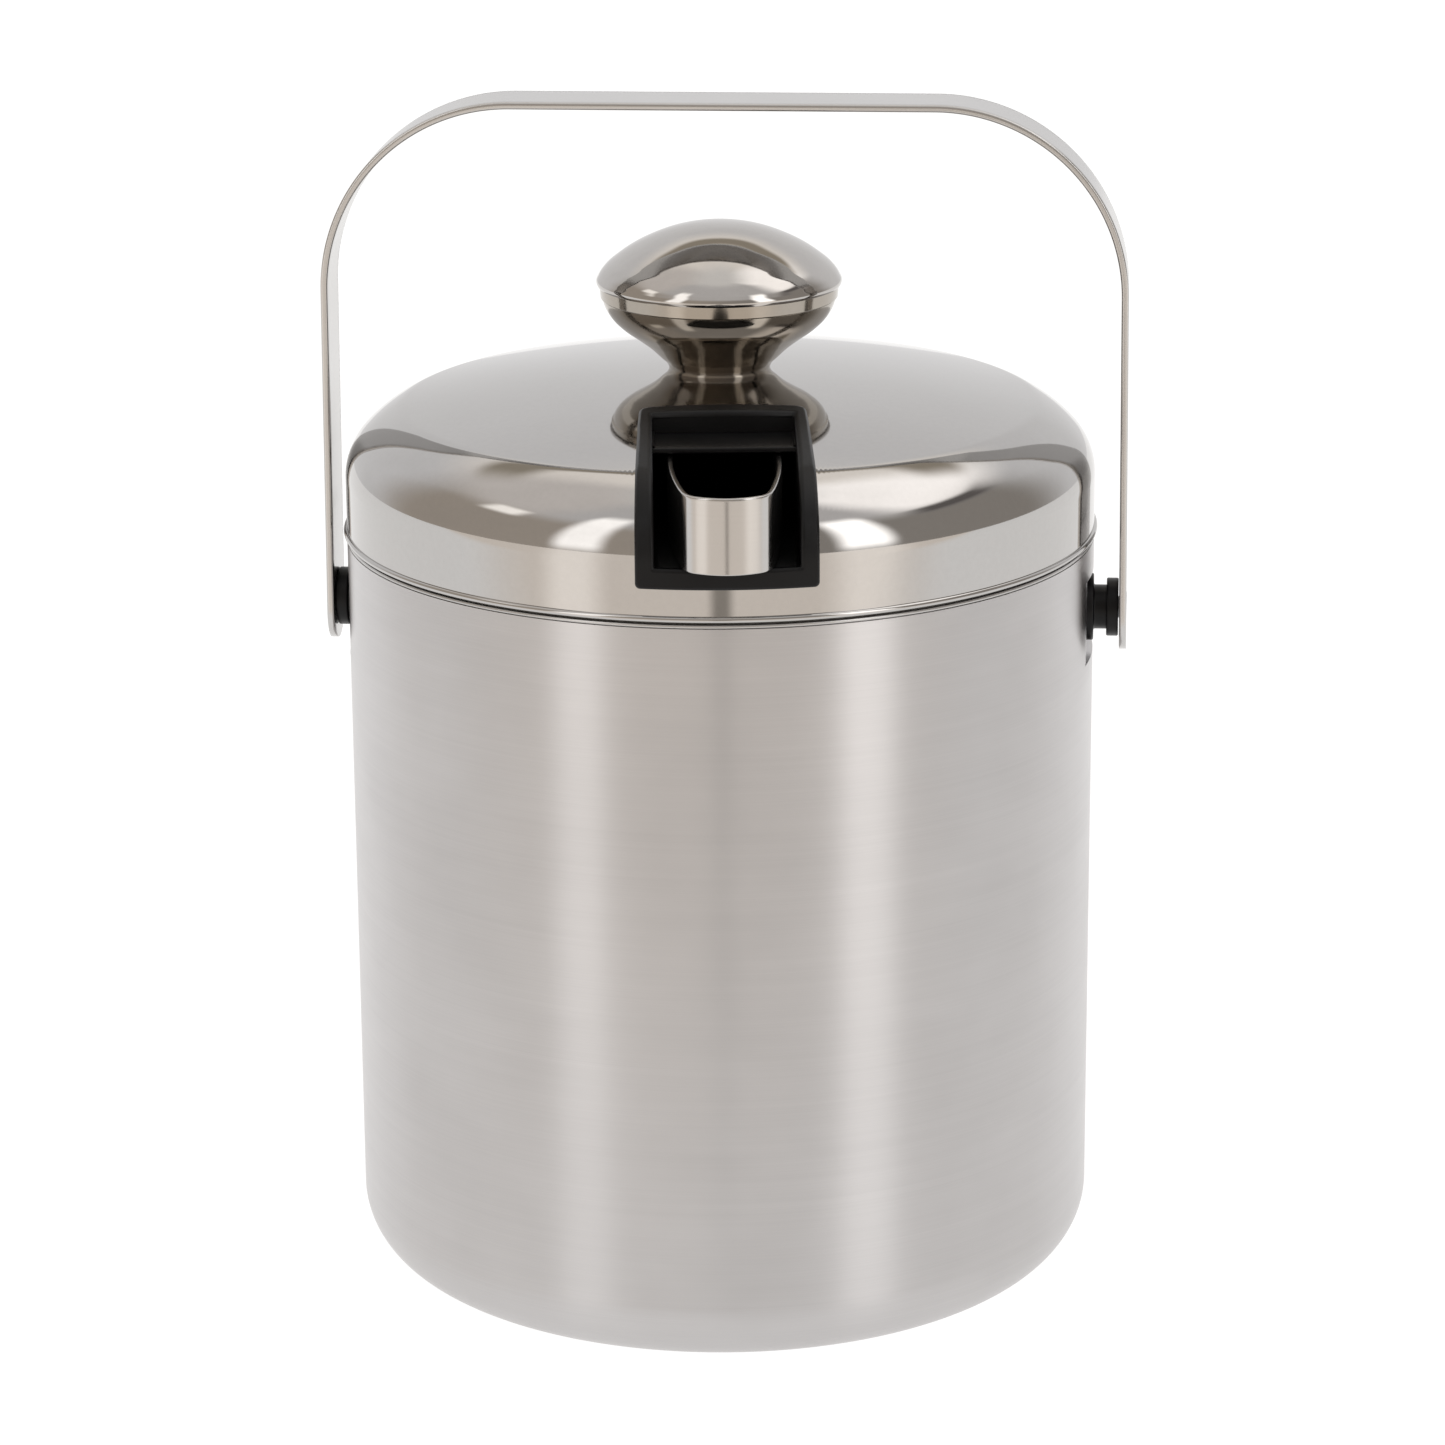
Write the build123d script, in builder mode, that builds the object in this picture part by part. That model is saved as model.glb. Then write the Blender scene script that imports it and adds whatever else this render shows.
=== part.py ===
from build123d import *
import os
from math import asin, cos, pi, radians, sin, sqrt

os.makedirs("parts", exist_ok=True)

# ---------------------------------------------------------------- bucket
body_r = 72.5            # outside radius of the outer shell and of the lid wall
sheet_t = 0.8            # sheet thickness of the shells
corner_r = 13.5          # outside radius of the bottom corner
base_rise = 2.0          # height of the pressed-up middle of the base
base_ring_r = 48.0       # inside radius of the ring the bucket stands on
rim_z = 147.2            # top of the rolled rim, the face the lid seal sits on
liner_r = 65.0           # inside radius of the liner
liner_floor_z = 10.0     # underside of the liner floor
liner_corner_r = 9.0     # outside radius of the liner's bottom corner

# ---------------------------------------------------------------- bail and pivots
pivot_z = 132.0          # height of the bail pivot
seat_x = 71.3            # flat seat pressed into the shell under each pivot boss
seat_h = 16.5            # height of that seat
flange_x = 72.6          # outer face of the boss flange
collar_w = 2.3           # width of the boss collar
leg_right_x = 77.6       # inner face of the right bail leg at the pivot
leg_left_x = 75.4        # inner face of the left bail leg, which stands closer to the shell
leg_gap = 0.22           # gap between a boss collar and its leg
leg_lean = 0.9           # how far each leg leans inwards by the time it reaches the top
bail_t = 1.4             # strap thickness
bail_w = 14.0            # strap width
bail_top_z = 230.9       # top face of the bail
bail_corner_r = 37.0     # outside radius of the bail's upper corners
bail_end = 8.2           # strap left below the pivot axis
pin_r = 2.1              # shank radius of the pivot screw
pin_fit = 0.05           # radial running fit of the strap on the screw

# ---------------------------------------------------------------- lid
lid_turn = 5.6           # how far the lid is turned on the rim, degrees
crown_r = 285.0          # radius of the lid's domed top
crown_z = 179.0          # top of the lid
crown_end_r = 60.5       # distance from the axis where the dome ends
crease_r = 8.0           # radius of the soft crease round the dome
crease_tilt = 27.0       # tilt of the surface where the crease ends, degrees
shoulder_tilt = 45.4     # tilt where the wide shoulder passes into the tighter one
shoulder_r = 11.8        # radius of the tighter part, which meets the wall
lid_edge_z = 147.6       # lower edge of the lid wall
bead_r = 0.6             # small rolled bead on that edge
plug_r = 64.4            # outside radius of the part of the pan that enters the liner
pan_z = 142.0            # underside of the pan
pan_flange_z = 148.4     # underside of the pan flange, where the seal is held

# ---------------------------------------------------------------- tongs pocket and tongs
frame_w = 33.4           # width of the pocket frame at its foot
frame_top_w = 31.2       # width of the frame at its rear edge
frame_proud = 1.2        # how far the frame stands off the lid
frame_rear = 30.5        # rear edge of the frame, measured forward from the axis
frame_foot_z = 153.9     # lower edge of the frame
plug_w = 30.0            # width of the pocket body behind the frame
pocket_w = 26.4          # clear width inside the pocket
pocket_floor_z = 158.0
pocket_roof_z = 172.9    # ceiling of the covered part of the pocket
roof_t = 1.1
roof_front = 47.0        # front edge of the pocket's roof panel
recess_rear = 35.0       # rear wall of the recess above the roof panel
pocket_end = -33.8       # inside end of the pocket, behind the axis
wall_t = 1.2
tongs_t = 1.0
tongs_z = 158.3
tongs_h = 14.2

# ---------------------------------------------------------------- knob
knob_top_z = 207.1
knob_seam_z = 195.1      # joint between the knob's cap and its cup
knob_sheet = 0.8

pivot_axis = Axis((0, 0, pivot_z), (1, 0, 0))
turn = radians(lid_turn)
lid_plan = Plane(origin=(0, 0, 0), x_dir=(cos(turn), sin(turn), 0), z_dir=(0, 0, 1))
lid_side = Plane(origin=(0, 0, 0), x_dir=(sin(turn), -cos(turn), 0), z_dir=(-cos(turn), -sin(turn), 0))


def lid_arcs():
    """Arcs of the lid section from the apex to the wall, each as its centre, its radius and the
    tilts from vertical where it starts and ends."""
    tilts = [asin(crown_end_r / crown_r), radians(crease_tilt), radians(shoulder_tilt), pi / 2]
    reach = body_r - crown_end_r - crease_r * (sin(tilts[1]) - sin(tilts[0])) - shoulder_r * (1 - sin(tilts[2]))
    wide_r = reach / (sin(tilts[2]) - sin(tilts[1]))
    arcs = [(0, crown_z - crown_r, crown_r, 0, tilts[0])]
    for radius, start, end in zip((crease_r, wide_r, shoulder_r), tilts, tilts[1:]):
        x, z, before, _, _ = arcs[-1]
        arcs.append((x + (before - radius) * sin(start), z + (before - radius) * cos(start), radius, start, end))
    return arcs


def lid_curve(inset):
    """Adds the lid section to the open line, inset from the outside, and returns its two ends."""
    runs = []
    for x, z, radius, start, end in lid_arcs():
        r = radius - inset
        runs.append([(x + r * sin(t), z + r * cos(t)) for t in (start, (start + end) / 2, end)])
    for run in runs:
        ThreePointArc(*run)
    return runs[0][0], runs[-1][-1]


def crown_height(radius, inset):
    """Height of the domed top at a radius, inset from the outside."""
    return crown_z - crown_r + sqrt((crown_r - inset) ** 2 - radius**2)


def inset_run(run, amount):
    """Points of a run of (x, y) points moved to its left side by an amount."""
    moved = []
    for i, (x, y) in enumerate(run):
        ax, ay = run[max(i - 1, 0)]
        bx, by = run[min(i + 1, len(run) - 1)]
        length = sqrt((bx - ax) ** 2 + (by - ay) ** 2)
        moved.append((x - amount * (by - ay) / length, y + amount * (bx - ax) / length))
    return moved


def boss_run(collar_x):
    """Half section of a pivot boss: flange on the seat, neck, and a collar that ends at a distance."""
    bore_z = pivot_z + pin_r + pin_fit
    neck_x = collar_x - collar_w
    return [
        (seat_x, bore_z),
        (seat_x, pivot_z + 6.5),
        (flange_x, pivot_z + 6.5),
        (flange_x, pivot_z + 4.3),
        (neck_x, pivot_z + 4.3),
        (neck_x, pivot_z + 5.65),
        (collar_x, pivot_z + 5.65),
        (collar_x, bore_z),
        (seat_x, bore_z),
    ]


# ---------------------------------------------------------------- outer shell
with BuildPart() as outer_shell:
    for side in (1, -1):
        with BuildSketch(Plane.YZ.offset(side * (seat_x - sheet_t))):
            with Locations((0, pivot_z)):
                Rectangle(28, seat_h + 2 * sheet_t)
        extrude(amount=side * 6)
    Cylinder(body_r, rim_z, align=(Align.CENTER, Align.CENTER, Align.MIN), mode=Mode.INTERSECT)
    with BuildSketch(Plane.XZ):
        with BuildLine():
            foot_x = body_r - corner_r
            Polyline((0, base_rise), (base_ring_r - base_rise, base_rise), (base_ring_r, 0), (foot_x, 0))
            RadiusArc((foot_x, 0), (body_r, corner_r), -corner_r)
            Polyline(
                (body_r, corner_r),
                (body_r, rim_z - sheet_t),
                (body_r - sheet_t, rim_z - sheet_t),
                (body_r - sheet_t, corner_r),
            )
            RadiusArc((body_r - sheet_t, corner_r), (foot_x, sheet_t), corner_r - sheet_t)
            Polyline(
                (foot_x, sheet_t),
                (base_ring_r + 0.33, sheet_t),
                (base_ring_r - base_rise + 0.33, base_rise + sheet_t),
                (0, base_rise + sheet_t),
                (0, base_rise),
            )
        make_face()
    revolve(axis=Axis.Z)
    for side in (1, -1):
        with BuildSketch(Plane.YZ.offset(side * seat_x)):
            with Locations((0, pivot_z)):
                Rectangle(40, seat_h)
        extrude(amount=side * 6, mode=Mode.SUBTRACT)
        with BuildSketch(Plane.YZ.offset(side * 60)):
            with Locations((0, pivot_z)):
                Circle(pin_r + 0.2)
        extrude(amount=side * 20, mode=Mode.SUBTRACT)
outer_shell.part.label = "outer_shell"
export_step(outer_shell.part, "parts/outer_shell.step")

# ---------------------------------------------------------------- liner with the rolled rim
with BuildPart() as inner_liner:
    with BuildSketch(Plane.XZ):
        with BuildLine():
            out_r = liner_r + sheet_t
            foot_x = out_r - liner_corner_r
            arc_z = liner_floor_z + liner_corner_r
            Line((0, liner_floor_z), (foot_x, liner_floor_z))
            RadiusArc((foot_x, liner_floor_z), (out_r, arc_z), -liner_corner_r)
            Polyline(
                (out_r, arc_z),
                (out_r, rim_z - sheet_t),
                (body_r, rim_z - sheet_t),
                (body_r, rim_z),
                (liner_r + 1.2, rim_z),
            )
            RadiusArc((liner_r + 1.2, rim_z), (liner_r, rim_z - 1.2), -1.2)
            Line((liner_r, rim_z - 1.2), (liner_r, arc_z))
            RadiusArc((liner_r, arc_z), (foot_x, liner_floor_z + sheet_t), liner_corner_r - sheet_t)
            Polyline((foot_x, liner_floor_z + sheet_t), (0, liner_floor_z + sheet_t), (0, liner_floor_z))
        make_face()
    revolve(axis=Axis.Z)
inner_liner.part.label = "inner_liner"
export_step(inner_liner.part, "parts/inner_liner.step")

# ---------------------------------------------------------------- pivot bosses
with BuildPart() as pivot_boss_right:
    with BuildSketch(Plane.XZ):
        with BuildLine():
            Polyline(*boss_run(leg_right_x - leg_gap))
        make_face()
    revolve(axis=pivot_axis)
    chamfer(pivot_boss_right.edges().filter_by(GeomType.CIRCLE).group_by(SortBy.RADIUS)[-1], 0.3)
pivot_boss_right.part.label = "pivot_boss_right"
export_step(pivot_boss_right.part, "parts/pivot_boss_right.step")

with BuildPart() as pivot_boss_left:
    with BuildSketch(Plane.XZ):
        with BuildLine():
            Polyline(*[(-x, z) for x, z in boss_run(leg_left_x - leg_gap)])
        make_face()
    revolve(axis=pivot_axis)
    chamfer(pivot_boss_left.edges().filter_by(GeomType.CIRCLE).group_by(SortBy.RADIUS)[-1], 0.3)
pivot_boss_left.part.label = "pivot_boss_left"
export_step(pivot_boss_left.part, "parts/pivot_boss_left.step")

# ---------------------------------------------------------------- pivot screws, washers and nuts
screw_l = 10.7
with BuildPart() as pivot_screws:
    for side, leg_x in ((1, leg_right_x), (-1, leg_left_x)):
        head_x = leg_x + bail_t - 0.05
        with BuildSketch(Plane.XZ):
            with BuildLine():
                Polyline(
                    (side * (head_x - screw_l), pivot_z),
                    (side * (head_x - screw_l), pivot_z + pin_r),
                    (side * (head_x - 0.9), pivot_z + pin_r),
                    (side * head_x, pivot_z + 3.0),
                    (side * head_x, pivot_z),
                    (side * (head_x - screw_l), pivot_z),
                )
            make_face()
        revolve(axis=pivot_axis)
        with BuildSketch(Plane.YZ.offset(side * (head_x - 0.45))):
            with Locations((0, pivot_z)):
                Rectangle(3.2, 0.7)
                Rectangle(0.7, 3.2)
        extrude(amount=0.5, both=True, mode=Mode.SUBTRACT)
pivot_screws.part.label = "pivot_screws"
export_step(pivot_screws.part, "parts/pivot_screws.step")

washer_x = seat_x - sheet_t
with BuildPart() as pivot_washers:
    with BuildSketch(Plane.YZ.offset(washer_x)):
        with Locations((0, pivot_z)):
            Circle(4.4)
            Circle(pin_r + pin_fit, mode=Mode.SUBTRACT)
    extrude(amount=-0.6)
    mirror(about=Plane.YZ)
pivot_washers.part.label = "pivot_washers"
export_step(pivot_washers.part, "parts/pivot_washers.step")

with BuildPart() as pivot_nuts:
    with BuildSketch(Plane.YZ.offset(washer_x - 0.6)):
        with Locations((0, pivot_z)):
            RegularPolygon(4.04, 6)
            Circle(pin_r + pin_fit, mode=Mode.SUBTRACT)
    extrude(amount=-1.8)
    mirror(about=Plane.YZ)
pivot_nuts.part.label = "pivot_nuts"
export_step(pivot_nuts.part, "parts/pivot_nuts.step")

# ---------------------------------------------------------------- bail
bail_foot_z = pivot_z - bail_end
with BuildPart() as bail_handle:
    with BuildSketch(Plane.XZ):
        for out, mode in ((bail_t, Mode.ADD), (0, Mode.SUBTRACT)):
            left, right, top = leg_left_x + out, leg_right_x + out, bail_top_z - bail_t + out
            with BuildLine():
                FilletPolyline(
                    (-left, bail_foot_z),
                    (-left + leg_lean, top),
                    (right - leg_lean, top),
                    (right, bail_foot_z),
                    radius=bail_corner_r - bail_t + out,
                )
                Line((right, bail_foot_z), (-left, bail_foot_z))
            make_face(mode=mode)
    extrude(amount=bail_w / 2, both=True)
    with BuildSketch(Plane.YZ):
        with Locations((0, bail_foot_z + bail_w / 2)):
            Circle(bail_w / 2)
            Rectangle(bail_w, bail_top_z, align=(Align.CENTER, Align.MIN))
    extrude(amount=2 * body_r, both=True, mode=Mode.INTERSECT)
    for side, leg_x in ((1, leg_right_x), (-1, leg_left_x)):
        with Locations(Plane((side * (leg_x + bail_t), 0, pivot_z), z_dir=(side, 0, 0))):
            CounterSinkHole(pin_r + pin_fit, 3.4, depth=bail_t + 1, counter_sink_angle=90)
bail_handle.part.label = "bail_handle"
export_step(bail_handle.part, "parts/bail_handle.step")

# ---------------------------------------------------------------- lid shell
with BuildPart() as lid_shell:
    with BuildSketch(Plane.XZ):
        with BuildLine():
            apex, wall_top = lid_curve(0)
            in_apex, in_wall_top = lid_curve(sheet_t)
            Polyline(wall_top, (body_r, lid_edge_z), (body_r - sheet_t, lid_edge_z), in_wall_top)
            Line(in_apex, apex)
        make_face()
        with Locations((body_r, lid_edge_z + bead_r)):
            Circle(bead_r)
    revolve(axis=Axis.Z)
    with BuildSketch(lid_side):
        with Locations(((frame_rear + 1.5 + 90) / 2, 190)):
            Rectangle(90 - frame_rear - 1.5, 2 * (190 - frame_foot_z - 1.3))
    extrude(amount=plug_w / 2 + 0.1, both=True, mode=Mode.SUBTRACT)
    with BuildSketch(Plane.XY.offset(crown_z - 5)):
        Circle(2.4)
    extrude(amount=10, mode=Mode.SUBTRACT)
lid_shell.part.label = "lid_shell"
export_step(lid_shell.part, "parts/lid_shell.step")

# ---------------------------------------------------------------- pan under the lid
with BuildPart() as lid_pan:
    with BuildSketch(Plane.XZ):
        rim_r = body_r - sheet_t - 0.1
        with BuildLine():
            Line((0, pan_z), (plug_r - 3, pan_z))
            RadiusArc((plug_r - 3, pan_z), (plug_r, pan_z + 3), -3)
            Polyline(
                (plug_r, pan_z + 3),
                (plug_r, pan_flange_z),
                (rim_r, pan_flange_z),
                (rim_r, pan_flange_z + 4),
                (rim_r - sheet_t, pan_flange_z + 4),
                (rim_r - sheet_t, pan_flange_z + sheet_t),
                (plug_r - sheet_t, pan_flange_z + sheet_t),
                (plug_r - sheet_t, pan_z + 3),
            )
            RadiusArc((plug_r - sheet_t, pan_z + 3), (plug_r - 3, pan_z + sheet_t), 3 - sheet_t)
            Polyline((plug_r - 3, pan_z + sheet_t), (0, pan_z + sheet_t), (0, pan_z))
        make_face()
    revolve(axis=Axis.Z)
lid_pan.part.label = "lid_pan"
export_step(lid_pan.part, "parts/lid_pan.step")

# ---------------------------------------------------------------- seal under the pan flange
with BuildPart() as lid_seal:
    with BuildSketch(Plane.XY.offset(rim_z + 0.05)):
        Circle(70.8)
        Circle(66.4, mode=Mode.SUBTRACT)
    extrude(amount=pan_flange_z - rim_z - 0.05)
lid_seal.part.label = "lid_seal"
export_step(lid_seal.part, "parts/lid_seal.step")

# ---------------------------------------------------------------- pocket for the tongs
plug_rear = frame_rear + 1.6
plug_end = pocket_end - wall_t
with BuildPart() as tong_pocket:
    with BuildSketch(Plane.XZ):
        with BuildLine():
            out_apex, out_wall_top = lid_curve(-frame_proud)
            apex, wall_top = lid_curve(0)
            Polyline(out_wall_top, (body_r + frame_proud, frame_foot_z), (body_r, frame_foot_z), wall_top)
            Line(apex, out_apex)
        make_face()
    revolve(axis=Axis.Z)
    with BuildSketch(lid_plan.offset(140)):
        with BuildLine():
            Polyline(
                (-frame_w / 2, -90),
                (frame_w / 2, -90),
                (frame_w / 2, -body_r),
                (frame_top_w / 2, -frame_rear),
                (-frame_top_w / 2, -frame_rear),
                (-frame_w / 2, -body_r),
                (-frame_w / 2, -90),
            )
        frame_plan = make_face()
        fillet(frame_plan.vertices().sort_by(Axis.Y)[-2:], 1.8)
    extrude(amount=60, mode=Mode.INTERSECT)
    with BuildSketch(lid_side):
        with BuildLine():
            Polyline(
                (plug_end, pocket_floor_z - 2.3),
                (90, pocket_floor_z - 2.3),
                (90, 190),
                (plug_rear, 190),
                (plug_rear, pocket_roof_z + roof_t),
                (plug_end, pocket_roof_z + roof_t),
                (plug_end, pocket_floor_z - 2.3),
            )
        make_face()
    extrude(amount=plug_w / 2, both=True)
    with BuildSketch(Plane.XZ):
        with BuildLine():
            out_apex, out_wall_top = lid_curve(-frame_proud)
            Polyline(out_wall_top, (body_r + frame_proud, 140), (110, 140), (110, 200), (0, 200), out_apex)
        make_face()
    revolve(axis=Axis.Z, mode=Mode.SUBTRACT)
    with BuildSketch(lid_side):
        with BuildLine():
            Polyline(
                (pocket_end, pocket_floor_z),
                (90, pocket_floor_z),
                (90, 190),
                (recess_rear, 190),
                (recess_rear, pocket_roof_z + roof_t),
                (roof_front, pocket_roof_z + roof_t),
                (roof_front, pocket_roof_z),
                (pocket_end, pocket_roof_z),
                (pocket_end, pocket_floor_z),
            )
        make_face()
    extrude(amount=pocket_w / 2, both=True, mode=Mode.SUBTRACT)
tong_pocket.part.label = "tong_pocket"
export_step(tong_pocket.part, "parts/tong_pocket.step")

# ---------------------------------------------------------------- tongs
half_run = [
    (6.4, -32.6),
    (9.4, -27.0),
    (11.2, -19.0),
    (11.2, -8.0),
    (10.6, 10.0),
    (10.5, 30.0),
    (10.5, 46.3),
    (10.5, 51.9),
    (10.15, 59.7),
    (9.35, 67.5),
    (8.5, 73.0),
    (7.85, 75.6),
    (6.9, 77.3),
    (4.6, 78.75),
]
outside = [(u, -v) for u, v in half_run] + [(0, -79.8)] + [(-u, -v) for u, v in reversed(half_run)]
inside = inset_run(outside, tongs_t)
with BuildPart() as tongs:
    with BuildSketch(lid_plan.offset(tongs_z)):
        with BuildLine():
            Spline(*outside)
            Line(outside[-1], inside[-1])
            Spline(*reversed(inside))
            Line(inside[0], outside[0])
        make_face()
    extrude(amount=tongs_h)
    with BuildSketch(lid_side):
        for k in range(4):
            with Locations((-32.6, tongs_z + tongs_h * (k + 0.5) / 4)):
                Rectangle(3.0, 1.9, rotation=45)
    extrude(amount=20, both=True, mode=Mode.SUBTRACT)
tongs.part.label = "tongs"
export_step(tongs.part, "parts/tongs.step")

# ---------------------------------------------------------------- knob
cup_run = [
    (22.45, 192.6),
    (21.95, 191.0),
    (20.75, 189.0),
    (18.75, 187.0),
    (16.0, 185.0),
    (13.4, 183.0),
    (11.5, 181.2),
    (10.1, 179.8),
    (9.6, 178.3),
]
cup_inside = [(8.8, 180.1), (10.4, 181.6), (12.4, 183.5), (15.1, 185.6), (17.9, 187.7), (20.0, 189.8), (21.2, 192.6)]
with BuildPart() as knob_cup:
    with BuildSketch(Plane.XZ):
        with BuildLine():
            Polyline((21.2, 192.6), (21.8, knob_seam_z), (23.0, knob_seam_z), (22.8, 192.9), (22.45, 192.6))
            Spline(*cup_run)
            Polyline(cup_run[-1], (2.3, 178.3), (2.3, 180.1), cup_inside[0])
            Spline(*cup_inside)
        make_face()
    revolve(axis=Axis.Z)
    with Locations((0, 0, crown_z - crown_r)):
        Sphere(crown_r, mode=Mode.SUBTRACT)
knob_cup.part.label = "knob_cup"
export_step(knob_cup.part, "parts/knob_cup.step")

cap_run = [
    (0, knob_top_z),
    (5.0, 206.75),
    (9.6, 205.7),
    (13.5, 204.2),
    (17.0, 202.4),
    (19.65, 200.6),
    (21.8, 198.8),
    (23.1, 197.1),
    (23.6, 195.9),
]
cap_foot_z = knob_seam_z + 0.1
with BuildPart() as knob_cap:
    with BuildSketch(Plane.XZ):
        with BuildLine():
            Spline(*cap_run)
            Polyline(cap_run[-1], (23.4, cap_foot_z), (0, cap_foot_z), (0, knob_top_z))
        make_face()
    revolve(axis=Axis.Z)
    with BuildSketch(Plane.XZ):
        cap_inside = inset_run(cap_run, -knob_sheet)
        cap_inside[0] = (0, knob_top_z - knob_sheet)
        with BuildLine():
            Spline(*cap_inside)
            Polyline(cap_inside[-1], (22.6, cap_foot_z), (0, cap_foot_z), cap_inside[0])
        make_face()
    revolve(axis=Axis.Z, mode=Mode.SUBTRACT)
knob_cap.part.label = "knob_cap"
export_step(knob_cap.part, "parts/knob_cap.step")

with BuildPart() as knob_insert:
    with BuildSketch(Plane.XY.offset(180.2)):
        RegularPolygon(7.0, 6)
        Circle(2.05, mode=Mode.SUBTRACT)
    extrude(amount=9)
knob_insert.part.label = "knob_insert"
export_step(knob_insert.part, "parts/knob_insert.step")

under_z = crown_z - sheet_t
with BuildPart() as knob_washer:
    with BuildSketch(Plane.XY.offset(under_z - 0.9)):
        Circle(6.0)
        Circle(2.2, mode=Mode.SUBTRACT)
    extrude(amount=0.8)
knob_washer.part.label = "knob_washer"
export_step(knob_washer.part, "parts/knob_washer.step")

with BuildPart() as knob_screw:
    with BuildSketch(Plane.XY.offset(under_z - 3.1)):
        Circle(3.8)
    extrude(amount=2.2)
    fillet(knob_screw.faces().sort_by(Axis.Z)[0].edges(), 0.8)
    with BuildSketch(Plane.XY.offset(under_z - 3.1)):
        Rectangle(3.4, 0.8)
        Rectangle(0.8, 3.4)
    extrude(amount=1.1, mode=Mode.SUBTRACT)
    with BuildSketch(Plane.XY.offset(under_z - 0.9)):
        Circle(2.0)
    extrude(amount=9.9)
knob_screw.part.label = "knob_screw"
export_step(knob_screw.part, "parts/knob_screw.step")
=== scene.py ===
"""Looks of a double-wall steel ice bucket with a strap bail, a domed lid, a round knob and tongs in the lid.

Every length in the classes is in millimetres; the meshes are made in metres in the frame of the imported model.
"""

import logging
import math
from dataclasses import dataclass
from enum import Enum
from typing import Any, Optional, Sequence, Union

import bpy
import numpy as np
from mathutils import Matrix, Vector


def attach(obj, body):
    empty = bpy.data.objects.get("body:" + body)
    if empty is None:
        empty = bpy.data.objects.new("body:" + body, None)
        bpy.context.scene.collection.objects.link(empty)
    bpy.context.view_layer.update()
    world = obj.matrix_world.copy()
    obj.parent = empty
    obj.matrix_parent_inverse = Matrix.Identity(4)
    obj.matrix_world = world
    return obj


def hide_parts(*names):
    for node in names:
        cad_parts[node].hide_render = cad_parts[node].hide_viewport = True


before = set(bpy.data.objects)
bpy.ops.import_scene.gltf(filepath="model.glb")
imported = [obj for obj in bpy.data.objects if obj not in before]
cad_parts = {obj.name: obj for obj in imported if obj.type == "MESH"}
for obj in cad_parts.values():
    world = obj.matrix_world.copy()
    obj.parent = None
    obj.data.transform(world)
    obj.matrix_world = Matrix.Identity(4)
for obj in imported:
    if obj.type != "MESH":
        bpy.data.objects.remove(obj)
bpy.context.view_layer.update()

LOG = logging.getLogger("ice_bucket")
MM = 0.001
WELD = 1e-7
Array = np.ndarray


# ------------------------------------------------------------------ shader maths
class Value:
    """A shader socket that can be used in Python expressions."""

    def __init__(self, graph: "Graph", socket: bpy.types.NodeSocket) -> None:
        """Keeps the socket and the graph it belongs to."""
        self.graph = graph
        self.socket = socket

    def _math(self, kind: str, *values: Any) -> "Value":
        """Adds one Math node."""
        return self.graph.node("ShaderNodeMath", {"operation": kind}, dict(enumerate(values)))

    def __add__(self, other: Any) -> "Value":
        """self + other."""
        return self._math("ADD", self, other)

    __radd__ = __add__

    def __sub__(self, other: Any) -> "Value":
        """self - other."""
        return self._math("SUBTRACT", self, other)

    def __rsub__(self, other: Any) -> "Value":
        """other - self."""
        return self._math("SUBTRACT", other, self)

    def __mul__(self, other: Any) -> "Value":
        """self * other."""
        return self._math("MULTIPLY", self, other)

    __rmul__ = __mul__

    def __truediv__(self, other: Any) -> "Value":
        """self / other."""
        return self._math("DIVIDE", self, other)

    def __abs__(self) -> "Value":
        """abs(self)."""
        return self._math("ABSOLUTE", self)

    def between(self, low: float, high: float) -> "Value":
        """0 below low, 1 above high, smooth between them.

        Args:
            low: value where the ramp starts.
            high: value where the ramp ends.

        Returns:
            The ramp.
        """
        settings = {"interpolation_type": "SMOOTHSTEP"}
        return self.graph.node("ShaderNodeMapRange", settings, {0: self, 1: low, 2: high, 3: 0.0, 4: 1.0})


Input = Union[Value, float, Sequence[float]]


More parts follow.
